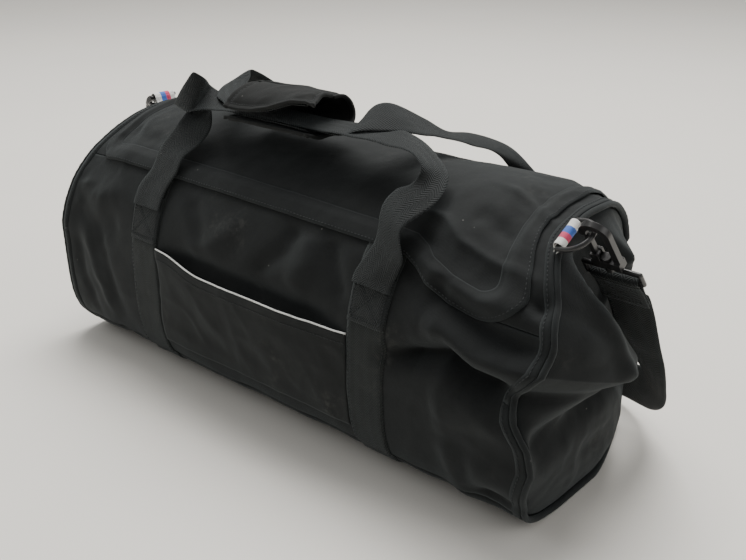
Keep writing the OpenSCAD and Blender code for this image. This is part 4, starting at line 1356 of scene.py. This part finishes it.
def shoulder_strap():
    """From the right hook down to the floor and along the back to the join."""
    off = 2.75*np.cross(RIGHT_ACROSS, RIGHT_DOWN)
    if off[1] < 0:
        off = -off                                # on the strap end's back face
    strap("shoulder_strap_webbing", "shoulder_strap",
          [RIGHT_BAR + RIGHT_DOWN*22 + off, RIGHT_BAR + RIGHT_DOWN*36 + off*.8,
           (293.5, 22, 129), (294, 46, 94), (286, 78, 58), (266, 108, 36),
           (228, 131, 26), (180, RUN_Y, RUN_Z), (60, RUN_Y, RUN_Z), (-60, RUN_Y, RUN_Z),
           (-180, RUN_Y, RUN_Z), (-236, RUN_Y + 1, RUN_Z + 1)],
          [(-1, 0, 0), (-1, 0, 0), (-1, .1, 0), (-.95, .3, .15), (-.75, .3, .6),
           (-.4, .2, .9), (-.1, 0, 1), *[(0, 0, 1)]*5])


def strap_tail():
    """From the left hook down to the floor and onto the strap's run."""
    off = 2.75*np.cross(LEFT_ACROSS, LEFT_DOWN)
    if off[0] >= 0:
        off = -off                                # on the strap end's outer face
    strap("left_strap_tail_webbing", "left_strap_tail",
          [LEFT_BAR + LEFT_DOWN*22 + off, LEFT_BAR + LEFT_DOWN*36 + off*.9,
           (-286, 8, 122), (-289, 20, 100), (-293, 46, 68), (-293, 82, 40),
           (-287, 114, 29), (-262, 131, 26), (-232, RUN_Y + 3.2, RUN_Z + .5),
           (-205, RUN_Y + 2.6, RUN_Z)],
          [(0, 1, 0), (0, 1, 0), (0, 1, .1), (0, .9, .3), (0, .8, .6), (0, .4, .9),
           *[(0, 0, 1)]*4])


strap_end("right", RIGHT_BAR, RIGHT_DOWN, RIGHT_ACROSS)
strap_end("left", LEFT_BAR, LEFT_DOWN, LEFT_ACROSS)
shoulder_strap()
strap_tail()
for x in (212, 228):
    path = np.array([(-x, RUN_Y + 4.2, z) for z in np.linspace(RUN_Z - 15, RUN_Z + 15, 16)])
    stitches(f"strap_join_stitches_{x}", path, np.tile([0, 1.0, 0], (16, 1)),
             "handle_webbing", "bag_body", **BOX_STITCH)


# ---------------- carried-over hardware ----------------
def recoat(node, material):
    """Give a kept CAD piece its material; its record may name the object separately."""
    record = nodes[node] if isinstance(nodes, dict) else None
    separate = isinstance(record, dict) and "object" in record
    obj = bpy.data.objects[record["object"] if separate else node]
    for material_slot in obj.material_slots:
        material_slot.material = material
    if not obj.material_slots:
        obj.data.materials.append(material)


for node in ("left_d_ring", "right_d_ring", "left_hook", "right_hook", "left_gate",
             "right_gate", "left_swivel_loop", "right_swivel_loop", "strap_adjuster"):
    recoat(node, PLASTIC)
for node in ("left_slider", "right_slider", "left_puller", "right_puller"):
    recoat(node, METAL)


# ---------------- stage, light and camera (metres) ----------------
def add_object(name, data):
    obj = bpy.data.objects.new(name, data)
    bpy.context.scene.collection.objects.link(obj)
    return obj


def floor():
    sh = Shader("pale_floor")
    colour = (.84, .815, .765)
    patches = sh.ramp(sh.noise(sh.object_coords(), scale=1.3, detail=5, rough=.6),
                      low=.3, high=.7)
    sh.surface({"Base Color": sh.mix(patches, colour, tuple(c*(1 - .03) for c in colour)),
                "Roughness": .5})
    data = bpy.data.meshes.new("floor")
    data.from_pydata([(-9, -9, 0), (9, -9, 0), (9, 9, 0), (-9, 9, 0)], [], [(0, 1, 2, 3)])
    data.materials.append(sh.material)
    add_object("floor", data)


def area_light(name, place, target, size, power, colour):
    light = bpy.data.lights.new(name, "AREA")
    light.shape = "RECTANGLE"
    light.size, light.size_y = size
    light.energy = power
    light.color = colour
    obj = add_object(name, light)
    obj.location = place
    aim = Vector(target) - Vector(place)
    obj.rotation_euler = aim.to_track_quat("-Z", "Y").to_euler()


def camera():
    """In front of the bag's right end, looking down at it."""
    data = bpy.data.cameras.new("camera")
    data.sensor_width, data.lens = 36, 48.26
    data.clip_start, data.clip_end = .01, 60
    obj = add_object("camera", data)
    right = Vector((.747, .665, 0)).normalized()
    up = Vector((-.257, .288, .923))
    up = (up - up.dot(right)*right).normalized()
    pose = Matrix((right, up, right.cross(up))).transposed().to_4x4()
    pose.translation = (.604, -.6343, .465)
    obj.matrix_world = pose
    bpy.context.scene.camera = obj


floor()
area_light("overhead_panel", place=(-.5, .9, 2.6), target=(0, 0, .1), size=(2.4, 1.6),
           power=118, colour=(1, .985, .955))
area_light("window_soft", place=(-1.6, -1.6, 1.9), target=(0, 0, .15), size=(1.6, 1.4),
           power=9, colour=(.95, .98, 1))
area_light("end_fill", place=(2.2, .3, 1.3), target=(.2, 0, .1), size=(1.4, 1.2),
           power=9, colour=(1, .99, .97))
world = bpy.data.worlds.new("studio")
bpy.context.scene.world = world
world.use_nodes = True
background = world.node_tree.nodes["Background"]
background.inputs["Color"].default_value = (.80, .79, .77, 1)
background.inputs["Strength"].default_value = .56
camera()

bpy.context.view_layer.update()
